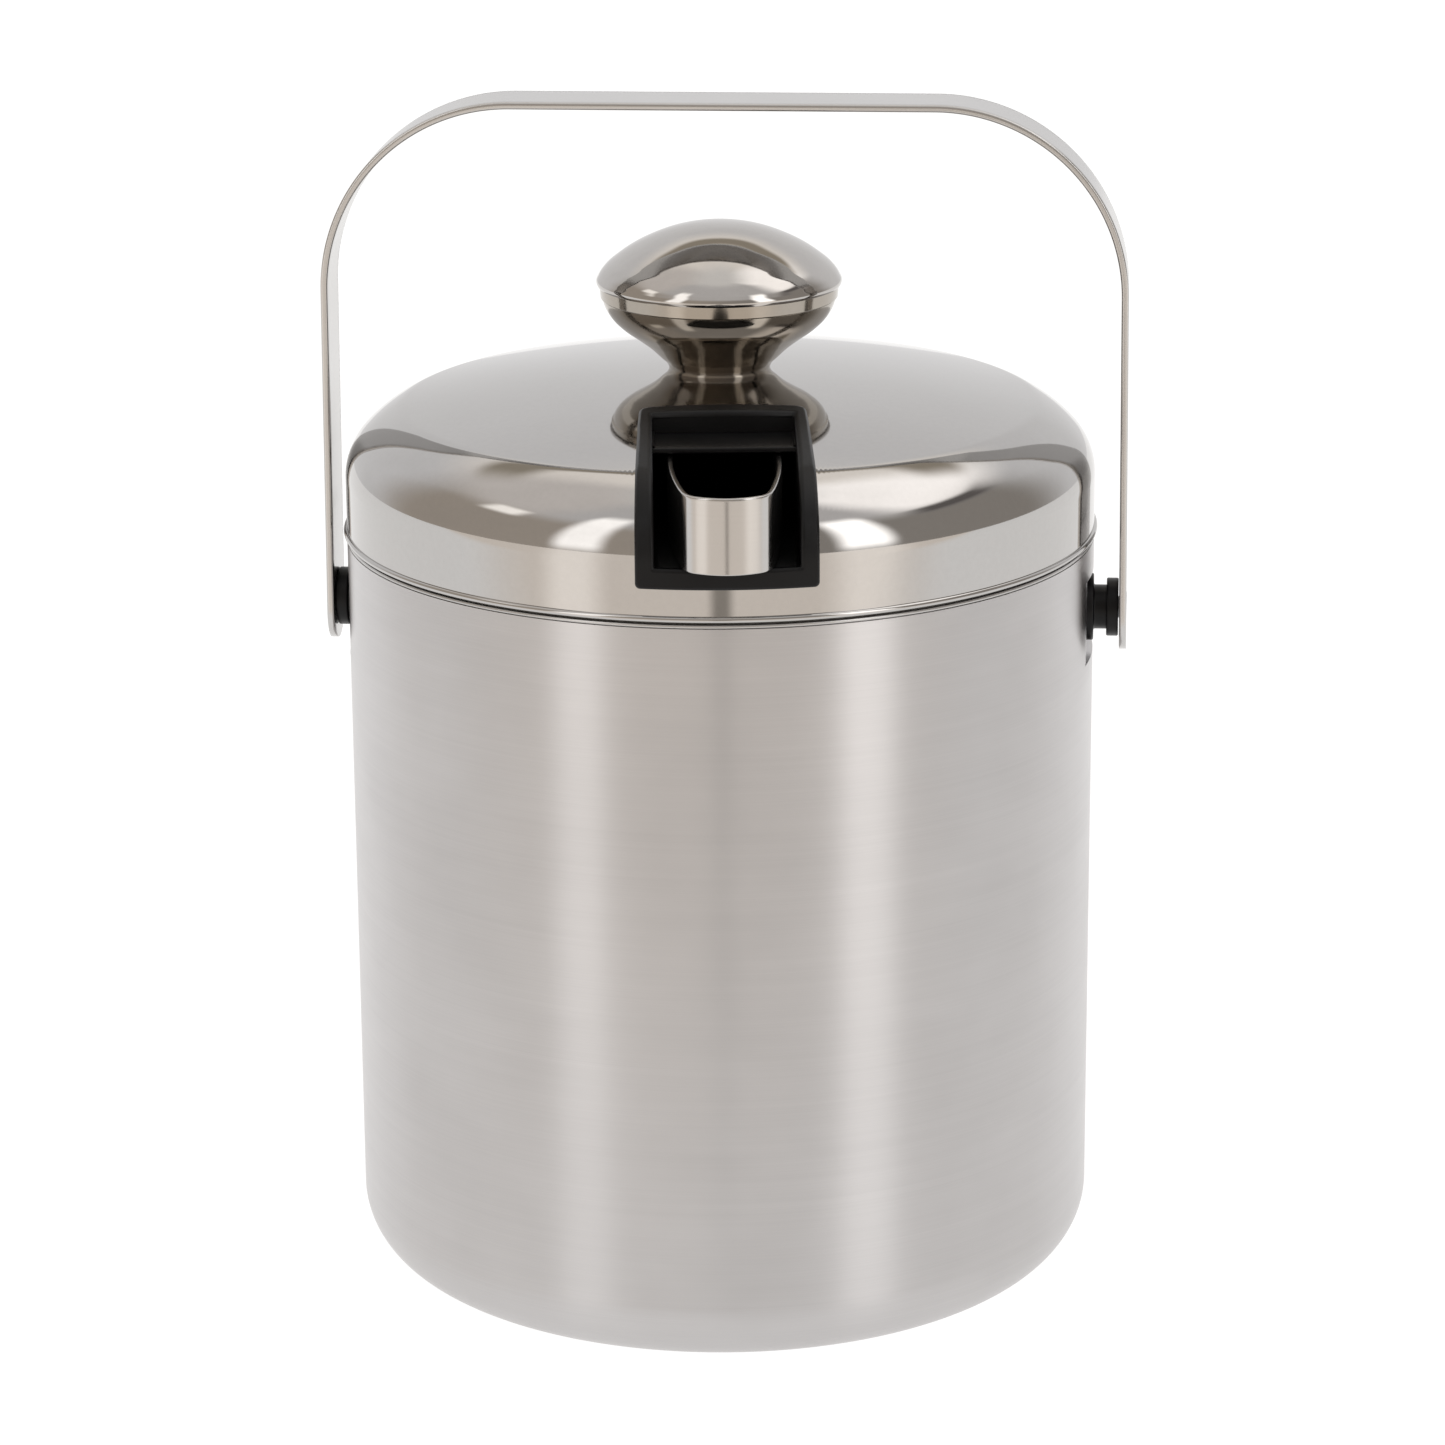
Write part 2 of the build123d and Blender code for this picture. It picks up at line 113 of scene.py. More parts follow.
class Graph:
    """The nodes of one material."""

    def __init__(self, name: str) -> None:
        """Starts an empty material with its output node."""
        self.material = bpy.data.materials.new(name)
        self.material.use_nodes = True
        self.tree = self.material.node_tree
        self.tree.nodes.clear()
        self.out = self.tree.nodes.new("ShaderNodeOutputMaterial")

    def node(self, kind: str, settings: Optional[dict] = None, inputs: Optional[dict] = None,
             out: Any = 0) -> Value:
        """Adds a node.

        Args:
            kind: the node's type.
            settings: properties set first.
            inputs: socket name or index to a value or a link.
            out: name or index of the output wanted.

        Returns:
            The node's output.
        """
        made = self.tree.nodes.new(kind)
        for key, value in (settings or {}).items():
            setattr(made, key, value)
        for key, value in (inputs or {}).items():
            if isinstance(value, Value):
                self.tree.links.new(value.socket, made.inputs[key])
            else:
                made.inputs[key].default_value = value
        return Value(self, made.outputs[out])

    def place(self) -> Value:
        """Object coordinates."""
        return self.node("ShaderNodeTexCoord", out="Object")

    def axes(self, where: Value) -> list[Value]:
        """The three coordinates of a place."""
        made = self.node("ShaderNodeSeparateXYZ", {}, {0: where}).socket.node
        return [Value(self, socket) for socket in made.outputs]

    def bearing(self, x: Value, y: Value, turn: float) -> Value:
        """Degrees round Z from a direction that is itself turned from -Y towards +X."""
        angle = self.node("ShaderNodeMath", {"operation": "ARCTAN2"}, {0: x, 1: y * -1.0})
        return angle * math.degrees(1) - turn

    def noise(self, where: Value, scale: float, detail: float = 3.0, rough: float = 0.55) -> Value:
        """Fractal noise at a place, near 0.5."""
        inputs = {"Vector": where, "Scale": scale, "Detail": detail, "Roughness": rough}
        return self.node("ShaderNodeTexNoise", {}, inputs, "Fac")

    def stretched(self, where: Value, scale: Sequence[float]) -> Value:
        """A place with each axis scaled by its own factor."""
        return self.node("ShaderNodeMapping", {}, {"Vector": where, "Scale": scale})

    def blend(self, factor: Input, first: Input, second: Input) -> Value:
        """Colour between two colours."""
        made = self.tree.nodes.new("ShaderNodeMix")
        made.data_type = "RGBA"
        for socket, value in ((made.inputs[0], factor), (made.inputs[6], first), (made.inputs[7], second)):
            if isinstance(value, Value):
                self.tree.links.new(value.socket, socket)
            else:
                socket.default_value = value if isinstance(value, float) else (*value, 1.0)
        return Value(self, made.outputs[2])

    def finish(self, shader: Value) -> bpy.types.Material:
        """Joins a shader to the output and returns the material."""
        self.tree.links.new(shader.socket, self.out.inputs[0])
        return self.material


# ------------------------------------------------------------------ finishes
class Grain(Enum):
    """How a steel sheet was finished."""

    ROUND_AXIS = "brushed round the bucket's axis"
    ALONG_STRIP = "brushed along the strip"
    NONE = "no brushing"


@dataclass(frozen=True)
class Steel:
    """Bare stainless steel."""

    name: str
    tint: tuple
    roughness: float
    grain: Grain = Grain.NONE
    anisotropy: float = 0.0
    rotation: float = 0.0
    bump: float = 0.02
    mottle: float = 0.03

    def material(self) -> bpy.types.Material:
        """Makes the material.

        Returns:
            Metal whose roughness and tint drift a little, with fine grain lines where it is brushed.
        """
        g = Graph(self.name)
        place = g.place()
        cloud = g.noise(place, 38.0, 3.0)
        wipe = g.noise(g.stretched(place, (60.0, 60.0, 260.0)), 1.0, 2.0)
        if self.grain is Grain.ROUND_AXIS:
            fine = g.noise(g.stretched(place, (14.0, 14.0, 5200.0)), 1.0, 2.0, 0.6)
            broad = g.noise(g.stretched(place, (9.0, 9.0, 900.0)), 1.0, 3.0, 0.6)
            lines = fine * 0.6 + broad * 0.4
        elif self.grain is Grain.ALONG_STRIP:
            along = g.node("ShaderNodeAttribute", {"attribute_name": "grain"}, out="Vector")
            lines = g.noise(g.stretched(along, (25.0, 2600.0, 2600.0)), 1.0, 3.0, 0.6)
        else:
            lines = g.noise(place, 900.0, 2.0)
        shade = 1.0 - (lines - 0.5) * self.mottle * 2.0 - (cloud - 0.5) * self.mottle
        pale = tuple(min(1.0, c * 1.04) for c in self.tint)
        dark = tuple(c * 0.90 for c in self.tint)
        colour = g.blend(shade.between(0.93, 1.07), dark, pale)
        rough = self.roughness + (cloud - 0.5) * self.roughness * 0.14 + (wipe - 0.5) * self.roughness * 0.14
        normal = g.node("ShaderNodeBump", {}, {"Strength": self.bump, "Distance": 0.0002, "Height": lines})
        inputs = {"Base Color": colour, "Metallic": 1.0, "Roughness": rough, "Anisotropic": self.anisotropy,
                  "Anisotropic Rotation": self.rotation, "Normal": normal}
        return g.finish(g.node("ShaderNodeBsdfPrincipled", {}, inputs))


@dataclass(frozen=True)
class Plastic:
    """Moulded plastic or rubber with a fine spark-eroded grain."""

    name: str
    colour: tuple
    roughness: float
    grain_size: float = 1500.0
    bump: float = 0.12
    shine: float = 0.5

    def material(self) -> bpy.types.Material:
        """Makes the material.

        Returns:
            A dielectric with a fine grain bump and a slight drift of tone and gloss.
        """
        g = Graph(self.name)
        place = g.place()
        grain = g.noise(place, self.grain_size, 2.0)
        cloud = g.noise(place, 70.0, 3.0)
        lighter = tuple(c * 1.5 + 0.001 for c in self.colour)
        colour = g.blend(cloud.between(0.35, 0.7), self.colour, lighter)
        rough = self.roughness + (cloud - 0.5) * 0.12 + (grain - 0.5) * 0.08
        normal = g.node("ShaderNodeBump", {}, {"Strength": self.bump, "Distance": 0.0001, "Height": grain})
        inputs = {"Base Color": colour, "Roughness": rough, "Specular IOR Level": self.shine,
                  "Normal": normal}
        return g.finish(g.node("ShaderNodeBsdfPrincipled", {}, inputs))


MIRROR = Steel("mirror_steel", (0.50, 0.487, 0.475), 0.055, bump=0.004, mottle=0.02)
KNOB_MIRROR = Steel("knob_mirror_steel", (0.50, 0.48, 0.46), 0.05, bump=0.004, mottle=0.02)
# The cup's tint is painted reflection: darker and warmer than the cap's steel, to stand for the dim warm room
# it mirrors.
CUP_STEEL_PAINTED_REFLECTION = Steel("cup_steel_painted_reflection", (0.38, 0.345, 0.30), 0.11, bump=0.004, mottle=0.03)
BRUSHED = Steel("brushed_steel", (0.583, 0.568, 0.565), 0.33, Grain.ROUND_AXIS, 0.95, 0.25, 0.06, 0.05)
SATIN = Steel("satin_steel", (0.52, 0.51, 0.50), 0.30, Grain.ROUND_AXIS, 0.5, 0.25, 0.06, 0.04)
STRAP = Steel("strap_steel", (0.55, 0.54, 0.53), 0.20, Grain.ALONG_STRIP, 0.0, 0.0, 0.06, 0.05)
TONGS = Steel("tongs_steel", (0.52, 0.505, 0.49), 0.17, Grain.ALONG_STRIP, 0.0, 0.0, 0.03, 0.03)
ZINC = Steel("zinc_steel", (0.55, 0.56, 0.57), 0.32, bump=0.05, mottle=0.08)
BLACK = Plastic("black_plastic", (0.0032, 0.0032, 0.0036), 0.36, shine=0.22)
SEAL = Plastic("seal_rubber", (0.42, 0.42, 0.41), 0.6, 900.0, 0.2)


# ------------------------------------------------------------------ surfaces
@dataclass
class Patch:
    """A grid of points with their outward directions, whose columns close on themselves if wrap is set."""

    points: Array
    normals: Array
    wrap: bool = False
    keep: Optional[Array] = None
    grain: Optional[Array] = None

    def quads(self) -> Array:
        """Corner numbers of each kept face, wound so that it looks along its outward directions."""
        rows, cols = self.points.shape[:2]
        index = np.arange(rows * cols).reshape(rows, cols)
        if self.wrap:
            index = np.concatenate([index, index[:, :1]], axis=1)
        faces = np.stack([index[:-1, :-1], index[:-1, 1:], index[1:, 1:], index[1:, :-1]], axis=-1)
        faces = faces.reshape(-1, 4)
        if self.keep is not None:
            faces = faces[self.keep.reshape(-1)]
        flat = self.points.reshape(-1, 3)
        out = self.normals.reshape(-1, 3)
        corner = flat[faces]
        facing = np.cross(corner[:, 2] - corner[:, 0], corner[:, 3] - corner[:, 1])
        turned = np.einsum("ij,ij->i", facing, out[faces].sum(axis=1)) < 0
        faces[turned] = faces[turned][:, ::-1]
        return faces


def unit(vectors: Array) -> Array:
    """Vectors scaled to length one, zero ones left alone."""
    length = np.linalg.norm(vectors, axis=-1, keepdims=True)
    return vectors / np.where(length > 1e-12, length, 1.0)


def weld(points: Array) -> tuple[Array, Array]:
    """Merges points that fall in one place.

    Args:
        points: (n, 3) places in metres.

    Returns:
        The distinct places, and for each old point the number of its place.
    """
    key = np.round(points / WELD).astype(np.int64)
    _, first, back = np.unique(key, axis=0, return_index=True, return_inverse=True)
    return points[first], back.reshape(-1)


def skin_mesh(name: str, patches: Sequence[Patch]) -> tuple[bpy.types.Mesh, Array]:
    """Makes one mesh from patches, welded where they meet, with each patch's own directions as its normals.

    Args:
        name: the mesh's name.
        patches: grids in millimetres.

    Returns:
        The mesh, and for each patch point the number of its vertex.
    """
    faces, start = [], 0
    for patch in patches:
        faces.append(patch.quads() + start)
        start += patch.points.shape[0] * patch.points.shape[1]
    quads = np.concatenate(faces)
    direction = unit(np.concatenate([patch.normals.reshape(-1, 3) for patch in patches]))
    places, back = weld(np.concatenate([patch.points.reshape(-1, 3) for patch in patches]) * MM)
    welded = back[quads]
    same = welded == np.roll(welded, -1, axis=1)
    whole, three = same.sum(axis=1) == 0, same.sum(axis=1) == 1
    triangles = welded[three][~same[three]].reshape(-1, 3)
    loops = np.concatenate([quads[whole].reshape(-1), quads[three][~same[three]].reshape(-1)])
    mesh = bpy.data.meshes.new(name)
    mesh.from_pydata(places.tolist(), [], welded[whole].tolist() + triangles.tolist())
    mesh.polygons.foreach_set("use_smooth", np.ones(len(mesh.polygons), dtype=bool))
    mesh.update()
    mesh.normals_split_custom_set(direction[loops].tolist())
    return mesh, back


def make_piece(name: str, patches: Sequence[Patch], material: bpy.types.Material, body: str,
               stands_for: Optional[str] = None) -> bpy.types.Object:
    """Builds one visible piece from patches.

    Args:
        name: the piece's name.
        patches: grids in millimetres.
        material: its finish.
        body: the moving body it belongs to.
        stands_for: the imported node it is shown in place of.

    Returns:
        The object.
    """
    mesh, back = skin_mesh(name, patches)
    if any(patch.grain is not None for patch in patches):
        grain = [np.zeros_like(patch.points) if patch.grain is None else patch.grain for patch in patches]
        values = np.zeros((len(mesh.vertices), 3))
        values[back] = np.concatenate([part.reshape(-1, 3) for part in grain]) * MM
        attribute = mesh.attributes.new("grain", "FLOAT_VECTOR", "POINT")
        attribute.data.foreach_set("vector", values.astype(np.float32).reshape(-1))
    mesh.materials.append(material)
    made = bpy.data.objects.new(name, mesh)
    bpy.context.scene.collection.objects.link(made)
    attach(made, body)
    if stands_for:
        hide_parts(stands_for)
    LOG.info("%s: %d faces", name, len(mesh.polygons))
    return made


# ------------------------------------------------------------------ sections
def line(start: Sequence[float], end: Sequence[float], count: int = 2) -> Array:
    """Points evenly along a straight line."""
    t = np.linspace(0.0, 1.0, count)[:, None]
    return np.asarray(start, float) * (1 - t) + np.asarray(end, float) * t


def arc(centre: Sequence[float], radius: float, start: float, end: float, count: int) -> Array:
    """Points along a circle: centre + radius * (cos a, sin a) for a from start to end in degrees."""
    a = np.radians(np.linspace(start, end, count))
    return np.asarray(centre, float) + radius * np.stack([np.cos(a), np.sin(a)], axis=-1)


def smooth_run(points: Sequence[Sequence[float]], count: int) -> Array:
    """A curve through points: a cubic in chord length between each two, with slopes from their neighbours.

    Args:
        points: the points passed through.
        count: number of samples.

    Returns:
        (count, 2) samples evenly spaced in chord length.
    """
    p = np.asarray(points, float)
    s = np.concatenate([[0.0], np.cumsum(np.linalg.norm(np.diff(p, axis=0), axis=1))])
    slope = np.gradient(p, s, axis=0, edge_order=2 if len(p) > 2 else 1)
    t = np.linspace(0.0, s[-1], count)
    k = np.clip(np.searchsorted(s, t, side="right") - 1, 0, len(p) - 2)
    h = (s[k + 1] - s[k])[:, None]
    x = ((t - s[k])[:, None]) / h
    return (
        (2 * x**3 - 3 * x**2 + 1) * p[k]
        + (x**3 - 2 * x**2 + x) * h * slope[k]
        + (3 * x**2 - 2 * x**3) * p[k + 1]
        + (x**3 - x**2) * h * slope[k + 1]
    )


def joined(*runs: Array) -> Array:
    """Runs laid end to end, without the repeated point where two meet."""
    parts = [runs[0]] + [run[1:] if np.allclose(run[0], before[-1], atol=1e-6) else run
                         for before, run in zip(runs, runs[1:])]
    return np.concatenate(parts)


def run_normals(run: Array) -> Array:
    """Directions to the right of a run: its slope against chord length, turned by -90 degrees."""
    s = np.concatenate([[0.0], np.cumsum(np.linalg.norm(np.diff(run, axis=0), axis=1))])
    if len(run) > 2:
        slope = np.gradient(run, s, axis=0, edge_order=2)
    else:
        slope = np.repeat(run[1:] - run[:1], 2, axis=0)
    return unit(np.stack([slope[:, 1], -slope[:, 0]], axis=-1))


def turned(run: Array, normals: Array, columns: int) -> tuple[Array, Array]:
    """A (radius, height) run turned about Z: (r cos a, r sin a, z), with its directions turned alike.

    Args:
        run: (n, 2) section.
        normals: (n, 2) outward directions of the section.
        columns: steps round the axis.

    Returns:
        Points and directions, each (n, columns, 3).
    """
    a = np.linspace(0.0, 2 * math.pi, columns, endpoint=False)
    ring = np.stack([np.cos(a), np.sin(a)], axis=-1)
    return round_ring(run, ring), round_ring(normals, ring)


def round_ring(run: Array, ring: Array) -> Array:
    """A (radius, height) run carried round a ring of unit (x, y) directions."""
    height = np.broadcast_to(run[:, None, 1:], (len(run), len(ring), 1))
    return np.concatenate([run[:, None, :1] * ring, height], axis=-1)


def revolved(runs: Sequence[Array], columns: int = 240) -> list[Patch]:
    """Section turned about Z, one patch per smooth run, walked with the outside on its right."""
    patches = []
    for run in runs:
        points, facing = turned(run, run_normals(run), columns)
        patches.append(Patch(points, facing, wrap=True))
    return patches


def revolved_about_x(runs: Sequence[Array], height: float, columns: int, side: int) -> list[Patch]:
    """Section of (radius, distance) runs turned about the pivot line, on one side of the bucket."""
    patches = []
    for run in runs:
        points, facing = turned(run, run_normals(run), columns)
        order = [2, 0, 1]
        points, facing = points[..., order].copy(), facing[..., order].copy()
        points[..., 0] *= side
        facing[..., 0] *= side
        points[..., 2] += height
        patches.append(Patch(points, facing, wrap=True))
    return patches


# ------------------------------------------------------------------ bucket
@dataclass
class Bucket:
    """Outer shell, liner, pivot bosses and their hardware."""

    radius: float = 72.5
    sheet: float = 0.8
    fold: float = 0.33
    lip: float = 0.4
    lap: float = 0.3
    rim_turn: float = 1.2
    corner: float = 13.5
    rise: float = 2.0
    ring: float = 48.0
    rim: float = 147.2
    liner: float = 65.0
    liner_floor: float = 10.0
    liner_corner: float = 9.0
    pivot: float = 132.0
    seat: float = 71.3
    seat_height: float = 16.5
    flange: float = 72.6
    collar: float = 2.3
    leg_right: float = 77.6
    leg_left: float = 75.4
    leg_gap: float = 0.22
    columns: int = 360

    def build(self) -> None:
        """Makes and dresses the bucket's pieces."""
        brushed = BRUSHED.material()
        make_piece("outer_shell_skin", self.shell(), brushed, "bucket", "outer_shell")
        make_piece("liner_skin", self.liner_cup(), SATIN.material(), "bucket", "inner_liner")
        black = BLACK.material()
        for side, name, leg in ((1, "right", self.leg_right), (-1, "left", self.leg_left)):
            patches = self.boss(side, leg - self.leg_gap)
            make_piece(f"boss_{name}", patches, black, "bucket", f"pivot_boss_{name}")
        zinc = ZINC.material()
        for node in ("pivot_screws", "pivot_washers", "pivot_nuts", "knob_screw", "knob_washer"):
            dress(node, zinc)
        dress("knob_insert", black)

    def seated(self, points: Array, facing: Array, flat: float) -> None:
        """Presses a band of wall flat at both pivots: x is held to +-flat wherever the round wall passes it.

        Args:
            points: wall points, changed in place.
            facing: their directions, changed in place.
            flat: distance of the flat from the axis.
        """
        past = np.abs(points[..., 0]) > flat
        side = np.sign(points[..., 0])
        points[..., 0] = np.where(past, side * flat, points[..., 0])
        facing[past] = np.stack([side[past], 0 * side[past], 0 * side[past]], axis=-1)

    def wall(self, radius: float, flat: float, half: float, low: float, high: float,
             outward: int) -> list[Patch]:
        """One face of the round wall with the two flat seats and the little ledges above and below them.

        Args:
            radius: of the round wall.
            flat: distance of the seats from the axis.
            half: half height of the seats.
            low: bottom of the wall.
            high: top of the wall.
            outward: 1 for the outer face, -1 for the inner face.

        Returns:
            Five patches: below, ledge, band with the seats, ledge, above.
        """
        patches = []
        edges = [low, self.pivot - half, self.pivot + half, high]
        for number, (start, end) in enumerate(zip(edges, edges[1:])):
            run = line((radius, start), (radius, end), 12)
            points, facing = turned(run, np.tile([float(outward), 0.0], (12, 1)), self.columns)
            if number == 1:
                self.seated(points, facing, flat)
                facing = unit(facing) * np.where(np.abs(facing[..., :1]) == 1, outward, 1)
            patches.append(Patch(points, facing, wrap=True))
        for z, up in ((self.pivot - half, 1), (self.pivot + half, -1)):
            full, facing = turned(line((radius, z), (radius, z)), np.zeros((2, 2)), self.columns)
            self.seated(full[1], facing[1], flat)
            facing[...] = (0.0, 0.0, float(up * outward))
            moved = np.abs(full[0, :, 0] - full[1, :, 0]) > 1e-9
            keep = moved | np.roll(moved, -1)
            patches.append(Patch(full, facing, wrap=True, keep=keep[None]))
        return patches

    def shell(self) -> list[Patch]:
        """Outer shell: base with a pressed-up middle, round corner and wall, outside and inside."""
        r, t, c = self.radius, self.sheet, self.corner
        foot, top = r - c, self.rim - t
        step, shift = self.ring - self.rise, self.fold
        outside = [
            line((0, self.rise), (step, self.rise), 12),
            line((step, self.rise), (self.ring, 0), 4),
            joined(line((self.ring, 0), (foot, 0), 6), arc((foot, c), c, -90, 0, 28)),
        ]
        inside = [
            joined(arc((foot, c), c - t, 0, -90, 20), line((foot, t), (self.ring + shift, t), 6)),
            line((self.ring + shift, t), (step + shift, self.rise + t), 4),
            line((step + shift, self.rise + t), (0, self.rise + t), 8),
        ]
        half = self.seat_height / 2
        return [
            *revolved(outside, self.columns),
            *self.wall(r, self.seat, half, c, top, 1),
            *revolved([line((r, top), (r - t, top))], self.columns),
            *self.wall(r - t, self.seat - t, half + t, c, top, -1),
            *revolved(inside, self.columns),
        ]

    def liner_cup(self) -> list[Patch]:
        """Liner: cup of constant thickness whose rim turns out over the shell's edge."""
        r, t, z = self.liner, self.sheet, self.liner_floor
        out, foot, c = r + t, r + t - self.liner_corner, self.liner_corner
        rim, wide, lip, turn, lap = self.rim, self.radius, self.lip, self.rim_turn, self.lap
        outside = joined(line((0, z), (foot, z), 8), arc((foot, z + c), c, -90, 0, 16),
                         line((out, z + c), (out, rim - t), 30))
        inside = joined(arc((wide - lip, rim - lip), lip, -90, 90, 12),
                        line((wide - lip, rim), (r + turn, rim), 5),
                        arc((r + turn, rim - turn), turn, 90, 180, 10), line((r, rim - turn), (r, z + c), 30),
                        arc((foot, z + c), c - t, 0, -90, 16), line((foot, z + t), (0, z + t), 8))
        return revolved([outside, line((out, rim - t), (wide - lap, rim - t), 4), inside], self.columns)

    def boss(self, side: int, end: float) -> list[Patch]:
        """Pivot boss: flange on the seat, narrow neck and collar, all turned round the pivot line.

        Args:
            side: 1 for the right one, -1 for the left one.
            end: distance of the collar's outer face from the bucket's axis.

        Returns:
            One patch for each smooth run of the section.
        """
        x0, x1, x2, x3 = self.seat, self.flange, end - self.collar, end
        bore, wide, neck, rim, e = 2.15, 6.5, 4.3, 5.65, 0.3
        flange = joined(line((wide, x0), (wide, x1 - e), 3), arc((wide - e, x1 - e), e, 0, 90, 6))
        step = [line((wide - e, x1), (neck, x1), 3)]
        if x2 - x1 > 2 * e:
            step = [joined(step[0][:-1], arc((neck + e, x1 + e), e, -90, -180, 6),
                           line((neck, x1 + e), (neck, x2), 4))]
        else:
            step.append(line((neck, x1), (neck, x2), 2))
        collar = joined(line((neck, x2), (rim - e, x2), 3), arc((rim - e, x2 + e), e, -90, 0, 6),
                        line((rim, x2 + e), (rim, x3 - e), 4), arc((rim - e, x3 - e), e, 0, 90, 6),
                        line((rim - e, x3), (bore, x3), 3))
        section = [line((bore, x0), (wide, x0), 3), flange, *step, collar, line((bore, x3), (bore, x0), 3)]
        return revolved_about_x(section, self.pivot, 96, side)


def dress(node: str, material: bpy.types.Material) -> None:
    """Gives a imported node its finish."""
    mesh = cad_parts[node].data
    mesh.materials.clear()
    mesh.materials.append(material)


# ------------------------------------------------------------------ bail
@dataclass
class Bail:
    """The strap bail: a flat strip with rounded edges along an arch."""

    right: float = 77.6
    left: float = 75.4
    lean: float = 0.9
    thick: float = 1.4
    wide: float = 14.0
    top: float = 230.9
    corner: float = 37.0
    pivot: float = 132.0
    end: float = 8.2
    edge: float = 0.45
    sink: float = 3.4
    bore: float = 2.15

    def build(self) -> None:
        """Makes the strap, then cuts its two countersunk holes."""
        finish = STRAP.material()
        self.pierce(make_piece("bail_strap", self.strip(), finish, "bail", "bail_handle"))

    def centre_half(self, leg: float) -> Array:
        """Middle of the strap's thickness from one foot up to the middle of the top, for a leg on the right.

        The leg leans in by the angle whose tangent is lean / height, and the corner is a circle that touches
        the leg and the top.

        Args:
            leg: inner face of the leg at its foot.

        Returns:
            (n, 2) points in (x, z).
        """
        x, foot, top = leg + self.thick / 2, self.pivot - self.end, self.top - self.thick / 2
        r, slope = self.corner - self.thick / 2, math.atan2(self.lean, top - foot)
        centre = (x - self.lean - r * math.tan((math.pi / 2 - slope) / 2), top - r)
        bend = arc(centre, r, math.degrees(slope), 90, 64)
        close = np.linspace(0.0, 1.0, 24) ** 2 * self.wide / 2
        start = np.stack([x - close * math.tan(slope), foot + close], axis=-1)
        return joined(start, line(start[-1], bend[0], 30), bend, line(bend[-1], (0, top), 20))

    def centre_line(self) -> tuple[Array, Array]:
        """Middle of the strap's thickness from the left foot over the top to the right one.

        Returns:
            (n, 2) points in (x, z) and their distances along the strap.
        """
        run = joined(self.centre_half(self.left) * (-1, 1), self.centre_half(self.right)[::-1])
        return run, np.concatenate([[0.0], np.cumsum(np.linalg.norm(np.diff(run, axis=0), axis=1))])

    def strip(self) -> list[Patch]:
        """A rounded-rectangle section carried along the arch; near each foot its half width follows
        sqrt(w^2 - (w - d)^2), with d the distance from the end, so that the foot is a half circle.

        Returns:
            One patch, closed round the section.
        """
        run, along = self.centre_line()
        side = run_normals(run)
        w, t, e = self.wide / 2, self.thick / 2, self.edge
        reach = np.minimum(along, along[-1] - along)
        half = np.sqrt(np.maximum(w**2 - np.maximum(w - reach, 0.0) ** 2, 1e-12))
        corners = [arc((w - e, t - e), e, 0, 90, 6), arc((-w + e, t - e), e, 90, 180, 6),
                   arc((-w + e, -t + e), e, 180, 270, 6), arc((w - e, -t + e), e, 270, 360, 6)]
        flat = [line(corners[0][-1], corners[1][0], 10), line(corners[2][-1], corners[3][0], 10)]
        section = joined(corners[0], flat[0], corners[1], corners[2], flat[1], corners[3])
        facing2 = run_normals(section)
        scale = (half / w)[:, None]
        y = section[None, :, 0] * scale
        out = section[None, :, 1]
        shape = (len(run), len(section), 3)
        points, facing = np.empty(shape), np.empty(shape)
        points[..., 1], facing[..., 1] = y, facing2[None, :, 0]
        slope = unit(np.stack([side[:, 1], -side[:, 0]], axis=-1))
        lean = np.abs(facing2[None, :, 0]) * np.gradient(half, along)[:, None]
        for axis, part in ((0, [0]), (2, [1])):
            points[..., axis] = run[:, part] - side[:, part] * out
            facing[..., axis] = slope[:, part] * lean - side[:, part] * facing2[None, :, 1]
        grain = np.stack(np.broadcast_arrays(along[:, None], y, out), axis=-1)
        return [Patch(points, unit(facing), wrap=True, grain=grain.copy())]

    def pierce(self, strap: bpy.types.Object) -> None:
        """Cuts the countersunk screw holes out of the strap.

        Args:
            strap: the strap's object, changed in place.
        """
        bore, over = self.bore, 1.0
        for sign, leg in ((1, self.right), (-1, self.left)):
            face = leg + self.thick
            waist, out = face - (self.sink - bore), (self.sink + over, face + over)
            section = joined(line((0, face - 5), (bore, face - 5)), line((bore, face - 5), (bore, waist)),
                             line((bore, waist), out), line(out, (0, face + over)))
            patches = revolved_about_x([section], self.pivot, 48, sign)
            cutter = make_piece(f"cutter_{sign}", patches, strap.data.materials[0], "bail")
            cut = strap.modifiers.new("hole", "BOOLEAN")
            cut.object, cut.operation, cut.solver = cutter, "DIFFERENCE", "EXACT"
            bpy.context.view_layer.update()
            shown = strap.evaluated_get(bpy.context.evaluated_depsgraph_get())
            strap.data = bpy.data.meshes.new_from_object(shown)
            strap.modifiers.clear()
            bpy.data.objects.remove(cutter)


